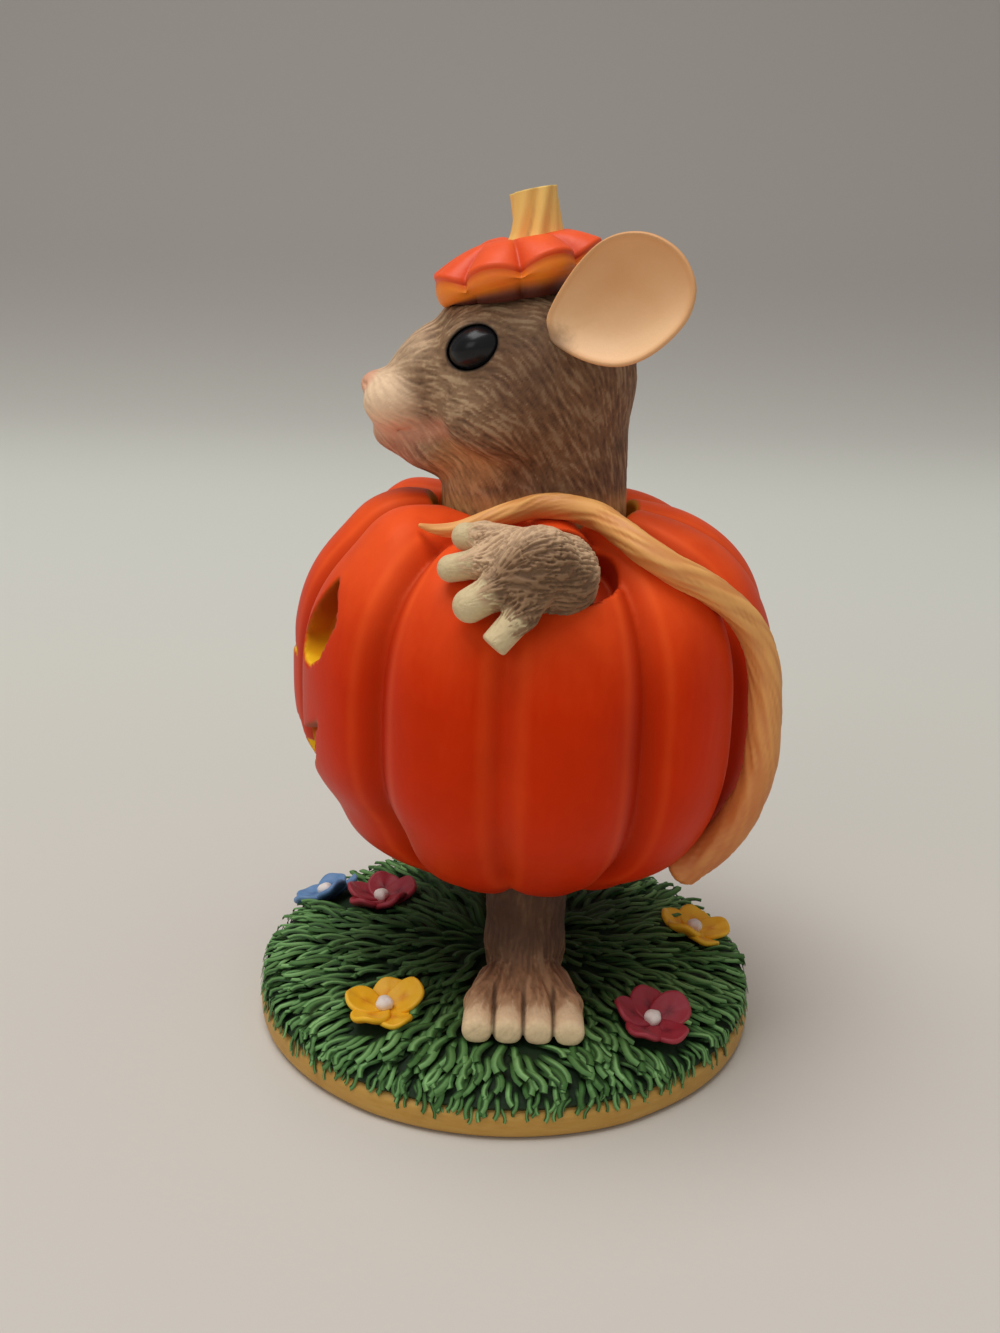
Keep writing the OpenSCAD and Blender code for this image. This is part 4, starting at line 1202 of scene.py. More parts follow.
class FIGURINE_OT_eyes(bpy.types.Operator):
    """Build the glossy black beads of the eyes, with their raised pupils"""

    bl_idname = "figurine.eyes"
    bl_label = "Eyes"

    def execute(self, context):
        s = chosen(context, "skin")
        paint = Paint("eye_gloss")
        depth = paint.trait("pupil")
        haze = paint.noise(1.4, 2)
        brown = tuple(1.6 * c + 0.002 for c in s.eye)
        colour = paint.mix(depth.step(0.35, 0.8) * (0.5 + haze), brown, s.eye)
        material = paint.finish(colour, 0.2 + 0.1 * haze, haze, 0.004, {"Specular IOR Level": 0.3})
        side_way = unit(np.cross(GAZE, (0, 0, 1)))
        frame_of_gaze = np.array([side_way, np.cross(side_way, GAZE), GAZE])
        turn = np.radians(np.arange(0, 360, 7.5))
        rings, pupil = [], []
        for a in np.radians(np.arange(4, 180, 4)):
            bulge = 1 + 0.035 * np.exp(-((a / 0.6) ** 2))
            way = hoop(turn, np.sin(a), np.cos(a)) @ frame_of_gaze
            local = (way @ EYE_AXES.T) * (EYE_RADII - 0.04) * bulge
            rings.append(EYE_AT + local @ EYE_AXES)
            pupil.append(np.full(len(turn), np.exp(-((a / 0.55) ** 2))))
        points, faces = ringed(rings)
        traits = {"pupil": np.concatenate(pupil + [[1.0, 0.0]])}
        for side, node in zip(SIDES, ("left_eye", "right_eye")):
            made = paired(f"{node}_bead", points, faces, traits, side)
            settled(made, material, "eye_black", node)
        return {"FINISHED"}


# The ears: their middle, the way they face, how far the hollow's middle is moved, the furry root's Y
# and Z, how far the right ear is moved, and the outline's corners as Y and Z

EAR_AT = np.array((11.59, 9.29, 85.38))
EAR_OUT = unit(np.array((0.93, -0.33, 0.1)))
EAR_HOLLOW = 0.6 * np.array((0, -1.4, -1.6))
EAR_ROOT = (2.2, 80.2)
RIGHT_EAR_SHIFT = (0, 1.79, -1.34)
EAR_OUTLINE = [
    (3.1, 80.6), (5.6, 79.4), (8.2, 78.9), (10.4, 79.2), (12.6, 80.4), (14.7, 82.4), (15.9, 84.4),
    (16.2, 86.8), (15.3, 89.0), (13.8, 90.5), (11.6, 91.4), (9.2, 91.3), (7.1, 90.3), (5.3, 88.4),
    (3.9, 86.3), (2.8, 84.3), (2.3, 82.9), (2.5, 81.7),
]


def between(a, b, c, d, share):
    """Point on a smooth curve through four corners, a share of the way from the second to the third."""
    bend = (2 * a - 5 * b + 4 * c - d) * share**2 + (3 * b - a - 3 * c + d) * share**3
    return b + ((c - a) * share + bend) / 2


def closed_curve(corners, count):
    """Smooth closed curve through corners, as evenly numbered points."""
    corners = np.array(corners, float)
    n = len(corners)
    t = np.arange(count) * n / count
    k = t.astype(int)
    return between(*(corners[(k + j) % n] for j in (-1, 0, 1, 2)), (t - k)[:, None])


def dish(rim, middle, out, cup, wall, rows=18):
    """Closed dish: a hollow front, a rolled rim and a back one wall away. It gives its traits too."""
    spread = rim - middle
    shares = np.linspace(0.04, 0.96, rows)
    turns = np.radians((-60, -30, 0, 30, 60))
    rings = [middle + share * spread - (cup * (1 - share**2.4)) * out for share in shares]
    for turn in turns:
        roll = 0.5 * wall * (unit(spread) * np.cos(turn) - out * (np.sin(turn) + 0.8))
        rings.append(middle + 0.97 * spread + roll)
    rings += [middle + share * spread - (cup * (1 - share**2.4) + wall) * out for share in shares[::-1]]
    front = np.concatenate([np.ones(rows), np.where(turns > 0, 0.5, 1.0), np.zeros(rows)])
    reach = np.concatenate([shares, np.ones(len(turns)), shares[::-1]])
    points, faces = ringed(rings)
    traits = {
        "front": np.concatenate([np.repeat(front, len(rim)), [1.0, 0.0]]),
        "reach": np.concatenate([np.repeat(reach, len(rim)), [0.0, 0.0]]),
    }
    return points, faces, traits


class FIGURINE_OT_ears(bpy.types.Operator):
    """Build the thin cupped ears with their rolled rims"""

    bl_idname = "figurine.ears"
    bl_label = "Ears"

    def execute(self, context):
        s, fur = chosen(context, "skin"), chosen(context, "fur")
        paint = Paint("ear_skin_paint")
        front, reach = paint.trait("front"), paint.trait("reach")
        soft = paint.noise(4, 3, 0.5)
        specks = paint.noise(0.45, 3, 0.6)
        y, z = paint.parts(paint.place, "Y", "Z")
        # Painted shade: the hollow is darker tan at the top and in its middle, as if shaded by the rim,
        # and lighter low down.
        low = 1 - z.step((EAR_AT[2] - 6) * MM, (EAR_AT[2] + 5) * MM)
        lit = low * 0.9 + reach.step(0.3, 0.8) * 0.25 + (soft - 0.5) * 0.4
        inner = paint.mix(lit, s.ear_shade_and_rim, s.ear)
        inner = paint.mix(reach.step(0.9, 1.0) * 0.7, inner, s.ear_shade_and_rim)
        back = paint.mix(specks.step(0.35, 0.7), fur.wash, fur.coat)
        back = paint.mix(reach.step(0.85, 1.0) * 0.25, back, s.ear_shade_and_rim)
        colour = paint.mix(front.step(0.3, 0.7), back, inner)
        away = ((y - EAR_ROOT[0] * MM) ** 2 + (z - EAR_ROOT[1] * MM) ** 2) ** 0.5
        ragged = away + (soft - 0.5) * (2 * MM) + (specks - 0.5) * (1.2 * MM)
        furry = 1 - ragged.step(0.6 * MM, 3.4 * MM)
        colour = paint.mix(furry * 0.8, colour, paint.mix(0.25, fur.coat, fur.wash))
        material = paint.finish(colour, 0.5 + 0.12 * soft, specks, 0.03)
        flat = closed_curve(EAR_OUTLINE, 96)
        lean = ((flat - EAR_AT[1:]) @ EAR_OUT[1:]) / EAR_OUT[0]
        rim = np.column_stack([EAR_AT[0] - lean, flat])
        middle = rim.mean(0) + EAR_HOLLOW
        middle = middle - EAR_OUT * ((middle - EAR_AT) @ EAR_OUT)
        ear = dish(rim, middle, EAR_OUT, s.ear_cup / MM, s.ear_wall / MM)
        for side, node in zip(SIDES, ("left_ear", "right_ear")):
            made = paired(f"{node}_shell", *ear, side, RIGHT_EAR_SHIFT)
            settled(made, material, "ear_skin", node)
        return {"FINISHED"}


# The hat

LID_LOBES = 8
LID_TURN = 5
LID_EDGE = 4.35
LID_FOOT = 1.6
LID_RIM_R = 9.52
LID_TOP_RADII = (9.35, 9.0, 8.4, 7.6, 6.6, 5.6, 4.6, 3.8, 3.1, 2.4, 1.2)
STEM_R = 2.85
STEM_H = 5.7
STEM_SINK = 0.7
STEM_Y = 2.6
STEM_TWIST = np.radians(42)


def on_hat(points):
    """From the hat's own upright axes to the frame's."""
    c, s = np.cos(LID_TILT), np.sin(LID_TILT)
    x, y, z = points[..., 0], points[..., 1], points[..., 2]
    return np.stack([x, c * y - s * z, s * y + c * z], -1) + LID_AT


class FIGURINE_OT_hat(bpy.types.Operator):
    """Build the scalloped pumpkin lid and its twisted stem"""

    bl_idname = "figurine.hat"
    bl_label = "Hat"

    def execute(self, context):
        self.lid(chosen(context, "costume"))
        self.stem(chosen(context, "straw"))
        return {"FINISHED"}

    def lid(self, s):
        turn = np.radians(np.arange(0, 360, 1.5))
        groove = np.abs(2 * (((np.degrees(turn) - LID_TURN) * LID_LOBES / 360) % 1) - 1)
        dip, crease = groove**2, groove**6
        droop = (0.5 - 0.5 * np.sin(turn)) ** 2
        edge = LID_EDGE - 1.2 * dip - 1.5 * droop
        foot = LID_FOOT - 2.3 * droop**2
        wall = 1 - 0.08 * dip - 0.05 * crease - 0.06 * droop
        skin = 1 - 0.1 * dip - 0.06 * crease - 0.07 * droop
        # Rings from the underside up the cut wall to the skin: radius, height, scallop and skin mark
        rows = [
            (3.0, 0.1, wall, 0),
            (7.2, 0, wall, 0),
            (7.8, 0.15, wall, 0.1),
            (8.0, 0.3 + 0.5 * foot, wall, 0.2),
            (8.3, 0.4 + 0.85 * foot, wall, 0.3),
            (8.9, 0.5 + foot, wall, 0.4),
            (9.3, 0.9 + foot, wall, 0.5),
            (9.5, 0.5 * (edge + foot), wall, 0.5),
            (9.45, edge - 0.8, wall, 0.56),
            (9.32, edge - 0.35, wall, 0.64),
            (9.34, edge - 0.2, wall, 0.7),
            (9.45, edge - 0.12, skin, 0.85),
            (9.56, edge, skin, 1),
            (9.6, edge + 0.15, skin, 1),
            (LID_RIM_R, edge + 0.4, skin, 1),
        ]
        for r in LID_TOP_RADII:
            near = (LID_RIM_R - r) / LID_RIM_R
            climb = np.minimum(near * (2.2 - 1.2 * droop), 1)
            rise = edge + 0.4 + (LID_H + 0.35 - edge) * np.sin(climb * np.pi / 2)
            rise = rise - 0.4 * crease * np.sin(np.minimum(near * 1.4, 1) * np.pi) - 0.75 * near**3
            rows.append((r, rise, 1 - (1 - skin) * (1 - near) ** 1.5, 1))
        points, faces = ringed([on_hat(hoop(turn, r * scallop, z)) for r, z, scallop, _ in rows])
        traits = {
            "skin": np.concatenate([np.repeat([row[3] for row in rows], len(turn)), [0.0, 1.0]]),
            "crease": np.concatenate([np.tile(crease, len(rows)), [0.0, 0.0]]),
        }
        paint = Paint("lid_satin_paint")
        skin_mark, groove = paint.trait("skin"), paint.trait("crease")
        patches = paint.noise(3.5, 3, 0.55)
        brush = paint.noise(0.7, 3, 0.6)
        front = paint.parts(paint.place, "Y")
        # The top is lighter orange in patches, partly dry-brushing and partly a painted highlight.
        top = paint.mix(0.45 + 0.6 * patches, s.skin, s.light)
        # Painted shade in the creases between the lid's lobes.
        top = paint.mix(groove * 0.35, top, s.shade)
        amber = paint.mix(0.5 + 0.5 * patches, s.pocket, s.light)
        side = paint.mix(1 - front.step(-9 * MM, -5 * MM) * 0.75, amber, s.pocket)
        side = paint.mix(groove * 0.5, amber, side)
        # Painted shadow at the foot of the wall, where the lid meets the head.
        side = paint.mix(1 - skin_mark.step(0.14, 0.38), side, s.dark)
        colour = paint.mix(skin_mark.step(0.5, 0.82), side, top)
        material = paint.finish(colour, 0.38 + 0.15 * brush, brush, 0.04, {"Specular IOR Level": 0.35})
        settled(piece("hat_lid_lobes", points, faces, traits), material, "pumpkin_orange", "hat_lid")

    def stem(self, s):
        turn = np.radians(np.arange(0, 360, 3))
        rings, ridge = [], []
        for t in np.linspace(0, 1, 40):
            flare = 1 + (0.45 - 0.25 * np.sin(turn)) * np.exp(-t * 7) + 0.05 * np.exp(-((1 - t) * 7))
            twist = turn - STEM_TWIST * t
            wave = 0.6 * np.cos(5 * twist + 0.6 * np.sin(2 * turn)) + 0.4 * np.cos(8 * twist + 1)
            r = STEM_R * flare * (1 - 0.12 * t) * (0.92 + 0.1 * wave)
            z = LID_H - STEM_SINK + t * STEM_H + t * 0.25 * np.cos(turn - 0.5)
            rings.append(hoop(turn, r, z) + (0, STEM_Y + 0.5 * t, 0))
            ridge.append(0.5 + 0.5 * wave + 0.25 * t)
        top = rings[-1]
        for share in (0.9, 0.72, 0.45, 0.2):
            rings.append(top.mean(0) + share * (top - top.mean(0)) - (0, 0, 0.35 * (1 - share)))
            ridge.append(np.full(len(turn), 0.55 + 0.4 * share))
        points, faces = ringed([on_hat(ring) for ring in rings])
        traits = {"ridge": np.concatenate(ridge + [[0.5, 0.5]])}
        paint = Paint("stem_straw_paint")
        height = paint.trait("ridge")
        specks = paint.noise(0.5, 3, 0.6, where=paint.stretched((1, 1, 5)))
        colour = paint.mix((height + (specks - 0.5) * 0.5).step(-0.4, 0.4), s.straw_shade, s.straw)
        material = paint.finish(colour, 0.5 + 0.15 * specks, specks, 0.06)
        settled(piece("hat_stem_twist", points, faces, traits), material, "stem_straw", "hat_stem")


# Arms and legs. The paw lies on the costume, so the wrist and each finger's knuckle and tip are angles.

WRIST = (0, 45.5)
WRIST_R = 3.3
FINGERS = [((-14, 55), (-23, 56)), ((-11, 48), (-22.5, 44.5))]
FINGERS += [((-6.5, 41), (-15, 34)), ((-1.5, 36), (-8, 26))]
FINGER_RADII = (1.42, 1.38, 1.7, 1.4)
ARM_R = 4.0
ARM_DROP = 1.3
PAW_LIFT = 0.5

# The leg's radii at the shin and above it. The foot's limbs, measured from its middle: their ends,
# their radii there and the blend that joins them on.
SHIN_R = 4.45
THIGH_R = 4.75
FOOT_FORMS = [
    ((0, 0, 3.2), (0.8, 0, 6), 4.4, 4.35, 0.9),
    ((0.8, 0, 4.6), (6, 0, 1.9), 4.1, 2.7, 1.4),
]

# The toes: how many there are, where their knuckles stand in a row, how far apart the outer ones are,
# their radius and how far they reach. Then the instep's limbs: their radius and where they start, with
# Y as a share of the toe's.
TOES = 4
TOE_X = 18.05
TOE_SPREAD = 9.6
TOE_R = 1.7
TOE_REACH = 4.95
INSTEP_R = 2.5
INSTEP_AT = (5.2, 0.62, 2.3)


def arm_joints():
    """Left arm: the end inside the sleeve, the mouth of the sleeve, the wrist and the fingers."""
    middle, east, up, out = skin_axes(*SLEEVE)
    mouth = middle - ARM_DROP * up - 0.4 * east
    inside = mouth - (SLEEVE_DEPTH - ARM_R) * out
    wrist = on_body(*WRIST, 3.0 + PAW_LIFT)
    fingers = []
    for (knuckle, tip), r in zip(FINGERS, FINGER_RADII):
        start, end = on_body(*knuckle, r + 0.4 + PAW_LIFT), on_body(*tip, r + PAW_LIFT)
        fingers.append((start + 0.3 * (end - start), end, r))
    return inside, mouth + 0.1 * ARM_R * out, wrist, fingers


def arm_field(p):
    inside, mouth, wrist, fingers = arm_joints()
    arm = limb(p, inside, mouth, ARM_R, ARM_R * 0.98)
    arm = soft_union(arm, limb(p, mouth, wrist, ARM_R * 0.98, WRIST_R), 1.2)
    for knuckle, _, r in fingers:
        arm = soft_union(arm, limb(p, wrist, knuckle, WRIST_R - 0.2, r + 0.32), 0.9)
    digits = [limb(p, knuckle, tip, r + 0.12, r) for knuckle, tip, r in fingers[:-1]]
    knuckle, tip, r = fingers[-1]
    way = unit(tip - knuckle)
    square_end = (p - tip) @ way - 0.9
    digits.append(soft_cut(limb(p, knuckle, tip + way, r + 0.1, r), -square_end, 0.4))
    return soft_union(arm, blended(digits, 0.15), 0.5)


def finger_share(p):
    """How far along its nearest finger a point lies, from 0 at the knuckle to 1 at the tip."""
    far, along = [], []
    for knuckle, tip, r in arm_joints()[3]:
        far.append(limb(p, knuckle, tip, r, r))
        way = tip - knuckle
        along.append((p - knuckle) @ way / (way @ way))
    return np.array(along)[np.argmin(far, axis=0), np.arange(len(p))]


def arm_lie(p):
    """Fur on the arm runs out of the sleeve and fans over the fingers."""
    _, east, up, out = skin_axes(*SLEEVE)
    source = arm_joints()[1] + 7.5 * east + 2.8 * up - 1.5 * out
    stray = (cloud(p / 1.7, 21) - 0.5)[:, None] * (0.2, 0.4, 0.9)
    return unit(p - source) + 0.3 * stray


def toe_offsets():
    """How far to the side of the foot's middle each toe's knuckle lies."""
    return [TOE_SPREAD * (i / (TOES - 1) - 0.5) for i in range(TOES)]


def leg_field(p):
    q = p - (LEG_X, BODY_Y, SOLE_Z)
    leg = limb(q, (0, 0, 6), (0, 0, BODY_LOW[2] - SOLE_Z + 3.4), SHIN_R, THIGH_R)
    for *ends, blend in FOOT_FORMS:
        leg = soft_union(leg, limb(q, *ends), blend)
    toes = []
    for offset in toe_offsets():
        instep = (INSTEP_AT[0], INSTEP_AT[1] * offset, INSTEP_AT[2])
        knuckle = (TOE_X - LEG_X, offset, 2.15)
        tip = (TOE_X - LEG_X + TOE_REACH - 0.65, 1.04 * offset, 1.35)
        toe = limb(q, knuckle, tip, TOE_R, TOE_R - 0.04)
        toe = soft_cut(toe, TOE_X + TOE_REACH - p[:, 0], 0.9)
        toes.append(soft_union(limb(q, instep, knuckle, INSTEP_R, TOE_R + 0.02), toe, 0.5))
    leg = soft_union(leg, blended(toes, 0.22), 1.0)
    return soft_cut(leg, p[:, 2] - SOLE_Z, 0.3)


def toe_crease(p):
    """1 in the furrow between two toes."""
    gaps = [np.abs(p[:, 1] - BODY_Y - offset) for offset in toe_offsets()]
    near = np.sort(gaps, axis=0)
    return (1 - ramp(near[1] - near[0], 0.1, 0.75)) * ramp(p[:, 0], 15.5, 18.5)


def leg_lie(p):
    """Fur on the leg falls to the ankle and then runs out along the foot."""
    low = 1 - ramp(p[:, 2], SOLE_Z + 3.5, SOLE_Z + 8)
    fan = np.stack([1 + 0 * low, 0.09 * (p[:, 1] - BODY_Y), -0.35 + 0 * low], -1)
    stray = (cloud(p / 2.0, 31) - 0.5)[:, None] * (0.1, 0.5, 0.1)
    return (1 - low)[:, None] * (0, 0, -1) + low[:, None] * fan + stray


class FIGURINE_OT_arms(bpy.types.Operator):
    """Build the furry arms and their four-fingered paws"""

    bl_idname = "figurine.arms"
    bl_label = "Arms"

    def execute(self, context):
        s = chosen(context, "fur")
        low, high = node_box("left_arm")
        points, quads = sculpt("arm", arm_field, low - 1, high + 1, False)
        along = finger_share(points)
        bare = ramp(along + (cloud(points / 0.8, 8) - 0.5) * 0.3, 0.05, 0.8)
        _, mouth, wrist, _ = arm_joints()
        _, _, up, _ = skin_axes(*SLEEVE)
        # Painted shadow on the arm below the sleeve's mouth, short of the fingertips.
        dusk = 0.8 * ramp((mouth - points) @ up, 0.3, 3.0) * ramp((points - wrist)[:, 1], -8, -3)
        cut, hair = s.paw_cut / MM, s.hair / MM * 0.75
        looks = {"length": 4.0, "seed": 15, "sharp": 2.0, "streaks": 1.6}
        points, ridge, bare = furred(points, quads, arm_lie, bare, cut, hair, **looks)
        coat = 1 - bare
        pale = 0.45 * (1 - dusk) * coat
        traits = fur_traits(ridge, bare=bare, pale=pale, sand=0.15 * coat, dusk=dusk * coat)
        material = fur_paint(s, "arm_fur_paint", s.digit)
        for side, node in zip(SIDES, ("left_arm", "right_arm")):
            made = paired(f"{node}_fur", points, quads, traits, side)
            settled(made, material, "fur", node)
        return {"FINISHED"}


class FIGURINE_OT_legs(bpy.types.Operator):
    """Build the furry legs and their four-toed feet"""

    bl_idname = "figurine.legs"
    bl_label = "Legs"

    def execute(self, context):
        s = chosen(context, "fur")
        low, high = node_box("left_leg")
        below = (low[0] - 1, low[1] - 1, SOLE_Z - 1)
        points, quads = sculpt("leg", leg_field, below, high + 1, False)
        jag = (cloud(points / 0.9, 9) - 0.5) * 1.2
        bare = ramp(points[:, 0] + jag, 18.9, 21.4)
        sand = 0.55 * ramp(points[:, 0], 13, 18.5)
        # Painted shade in the furrows between the toes, given through the near-black liner mark.
        crease = 0.75 * toe_crease(points)
        # Painted shadow: the leg is washed darker above the foot, where the costume shades it.
        dusk = 0.95 * ramp(points[:, 2], SOLE_Z + 2, SOLE_Z + 8)
        cut, hair = s.leg_cut / MM, s.hair / MM
        looks = {"length": 3.0, "seed": 25, "sharp": 1.2, "streaks": 1.2}
        points, ridge, bare = furred(points, quads, leg_lie, bare, cut, hair, **looks)
        shades = {"sand": 0.7 * sand, "pale": 0.4 * sand, "warm": 0.9 * (1 - sand)}
        traits = fur_traits(ridge, bare=bare, rim=crease, dusk=dusk, **shades)
        material = fur_paint(s, "leg_fur_paint", s.toe)
        for side, node in zip(SIDES, ("left_leg", "right_leg")):
            made = paired(f"{node}_fur", points, quads, traits, side)
            settled(made, material, "fur", node)
        return {"FINISHED"}


# The tail: its radius, how many sides it has, its gap to the costume, how far its root is sunk, its
# strands' length, turn and depth, and its route from the root to the tip as an angle, a latitude and a
# share of the radius

TAIL_R = 1.8
TAIL_SIDES = 40
TAIL_GAP = 0.12
ROOT_SINK = 1.2
STRAND_L = 3.4
STRAND_TURN = 0.16
STRAND_CUT = 0.09
TAIL_ROUTE = np.array([
    (52, -43, 1.12), (53.5, -36, 1.06), (55.5, -24, 1), (57, -12, 0.94), (57.5, -4, 0.92),
    (57.5, 3, 0.9), (57, 10, 0.88), (55, 20, 0.86), (50.5, 29, 0.85), (44, 37.5, 0.84), (37, 45, 0.82),
    (31.5, 53.5, 0.8), (28.5, 63, 0.78), (25, 71, 0.75), (13, 76, 0.72), (-3, 76, 0.68), (-14, 72, 0.62),
    (-22, 68, 0.54), (-30, 62.5, 0.44), (-38, 60, 0.3), (-45.5, 59.5, 0.12),
])


class FIGURINE_OT_tail(bpy.types.Operator):
    """Build the tail that climbs the back and lies over the shoulder"""

    bl_idname = "figurine.tail"
    bl_label = "Tail"

    def execute(self, context):
        s = chosen(context, "skin")
        last = len(TAIL_ROUTE) - 1
        stations = []
        for k in range(last):
            corners = [TAIL_ROUTE[min(max(k + j, 0), last)] for j in (-1, 0, 1, 2)]
            stations += [between(*corners, share) for share in np.arange(0, 1, 1 / 18)]
        turns, latitudes, shares = np.array(stations).T
        radius = TAIL_R * np.maximum(shares, 0.1)
        sunk = ROOT_SINK * (1 - ramp(np.arange(len(stations)), 0, 70))
        lift = front_swell(on_body(turns, latitudes, 0.0))
        middles = on_body(turns, latitudes, radius + TAIL_GAP - sunk + lift)
        ways = unit(np.gradient(middles, axis=0))
        skin = body_normal(turns, latitudes)
        up = unit(skin - np.sum(skin * ways, axis=1, keepdims=True) * ways)
        across = np.cross(ways, up)
        run = np.concatenate([[0], np.cumsum(np.linalg.norm(np.diff(middles, axis=0), axis=1))])
        turn = np.arange(TAIL_SIDES) * 2 * np.pi / TAIL_SIDES
        underside = 1 + 0.3 * ramp(-np.cos(turn), 0.1, 1.0)
        rings, ridge = [], []
        for middle, r, reach, up_way, side_way in zip(middles, radius, run, up, across):
            wave = hoop(turn + reach * STRAND_TURN, 2.1 * r, reach / STRAND_L)
            fine = cloud(wave * (1.9, 1.9, 1), 41)
            hair = ramp(0.55 * cloud(wave, 40) + 0.45 * fine, 0.25, 0.75)
            r = r * (1 - STRAND_CUT * (1 - hair))
            rise = r * underside * np.cos(turn)
            rings.append(middle + rise[:, None] * up_way + (r * np.sin(turn))[:, None] * side_way)
            ridge.append(hair)
        start = middles[0] - ways[0] * radius[0] * 0.55
        rings.insert(0, middles[0] - ways[0] * radius[0] * 0.38 + 0.72 * (rings[0] - middles[0]))
        ridge.insert(0, ridge[0])
        points, faces = ringed(rings, start, middles[-1] + ways[-1] * 0.25)
        reach = np.concatenate([np.repeat([0, *run], TAIL_SIDES), [0, run[-1]]]) / run[-1]
        traits = {"ridge": np.concatenate(ridge + [[0.5, 0.5]]), "run": reach}
        paint = Paint("tail_skin_paint")
        hair, along = paint.trait("ridge"), paint.trait("run")
        patches = paint.noise(4, 3, 0.6)
        root = 0.9 * (1 - along.step(0.0, 0.42)) * (0.3 + 0.8 * patches)
        light = paint.mix(root, s.tail, s.tail_shade)
        colour = paint.mix((1 - hair) * 0.5 + (patches - 0.5) * 0.35, light, s.tail_shade)
        material = paint.finish(colour, 0.46 + 0.15 * hair, hair, 0.05)
        settled(piece("tail_strands", points, faces, traits), material, "tail_skin", "tail")
        return {"FINISHED"}


# Plinth and grass. A flower's spot is a share of the turf's radius and an angle.

RIM_ROLL = 1.1
RIM_SAG = 0.22
FLOWER_SPOTS = {
    "blue_flower": (0.905, -119),
    "rear_red_flower": (0.6, -117),
    "side_yellow_flower": (0.72, -38),
    "side_red_flower": (0.8, 44),
    "rear_yellow_flower": (0.8, 101),
}


def turf_z(r):
    """Height of the turf's dome at a radius."""
    return TURF_FOOT_Z + TURF_H * np.sqrt(np.maximum(1 - (r / TURF_R) ** TURF_POWER, 0))


def flower_axes(spot):
    """A flower's place on the turf as a 4 by 4 matrix in millimetres: X outwards, Z off the turf."""
    r = spot[0] * TURF_R
    fill = (r / TURF_R) ** TURF_POWER
    slope = np.arctan(TURF_H * TURF_POWER * fill / (2 * r * np.sqrt(1 - fill)))
    place = Matrix.Translation((r, 0, float(turf_z(r)))) @ Matrix.Rotation(slope, 4, "Y")
    return np.array(Matrix.Rotation(np.radians(spot[1]), 4, "Z") @ place)


class FIGURINE_OT_plinth(bpy.types.Operator):
    """Build the ochre-gold plinth with its worn, rounded rim"""

    bl_idname = "figurine.plinth"
    bl_label = "Plinth"

    def execute(self, context):
        s = chosen(context, "straw")
        low, high = node_box("plinth")
        r, h, roll = (high[0] - low[0]) / 2, TURF_FOOT_Z, RIM_ROLL
        turn = np.radians(np.arange(0, 360, 1.5))
        bends = np.radians(np.arange(0, 91, 15))
        rows = [(r * 0.5, 0.0), (r - roll - 0.6, 0.0)]
        rows += [(r - roll + roll * np.sin(a), roll - roll * np.cos(a)) for a in bends]
        rows += [(r, h / 2)]
        rows += [(r - roll + roll * np.cos(a), h - roll + roll * np.sin(a)) for a in bends]
        rows += [(r * 0.6, h)]
        rings, edge = [], []
        for radius, z in rows:
            ring = hoop(turn, radius, z)
            sag = RIM_SAG * (cloud(ring / 6.0, 51) - 0.5) * (z > 0.05) * (z < h)
            rings.append(ring * (1 + sag / r)[:, None] * (1, 1, 0) + ring * (0, 0, 1))
            edge.append(np.full(len(turn), 1 - abs(z - h / 2) / (h / 2)))
        points, faces = ringed(rings)
        traits = {"edge": 1 - np.concatenate(edge + [[0, 0]])}
        paint = Paint("gold_rim_paint")
        worn = paint.trait("edge")
        patches = paint.noise(6, 4, 0.6)
        brush = paint.noise(1.0, 4, 0.6, where=paint.stretched((2.6, 2.6, 0.5)))
        colour = paint.mix((brush - 0.35) * 1.1 + worn**2 * 0.3, s.gold, s.gold_worn)
        brown = tuple(0.5 * c for c in s.gold)
        colour = paint.mix((patches - 0.52) * 1.8, colour, brown)
        material = paint.finish(colour, 0.42 + 0.2 * patches, brush, 0.05, {"Metallic": 0.15})
        settled(piece("plinth_rim", points, faces, traits), material, "gold_rim", "plinth")
        return {"FINISHED"}


# Blades shrink towards the turf's edge: above which level they grow, how fast, and from which share
# of their size. Beyond a radius they are drawn in and bent down over the rim. They stand at least one
# gap apart, and a blade's section is flat and painted brighter along its back and on the side that it
# sways to, partly as dry-brushing and partly as a painted highlight.
SHORT_LEVEL = 2.8
SHORT_SLOPE = 0.24
SHORTEST = 0.34
EDGE_R = 29.2
DRAWN_IN = 0.7
BENT_DOWN = 0.6
BLADE_GAP = 0.72
BLADE_SHARES = {"flat": 0.34, "ridge": 1.2, "lean": 0.5}

# The dome lies this far under the turf's surface and ends at this radius. Zones without grass: half of
# a foot's width and its ends along X, then a flower's radius and its length towards the turf's middle.
DOME_DROP = 0.55
DOME_R = 29.3
FOOT_CLEAR = (4.2, 4.5, 20.5)
FLOWER_CLEAR = (3.0, 4.2)


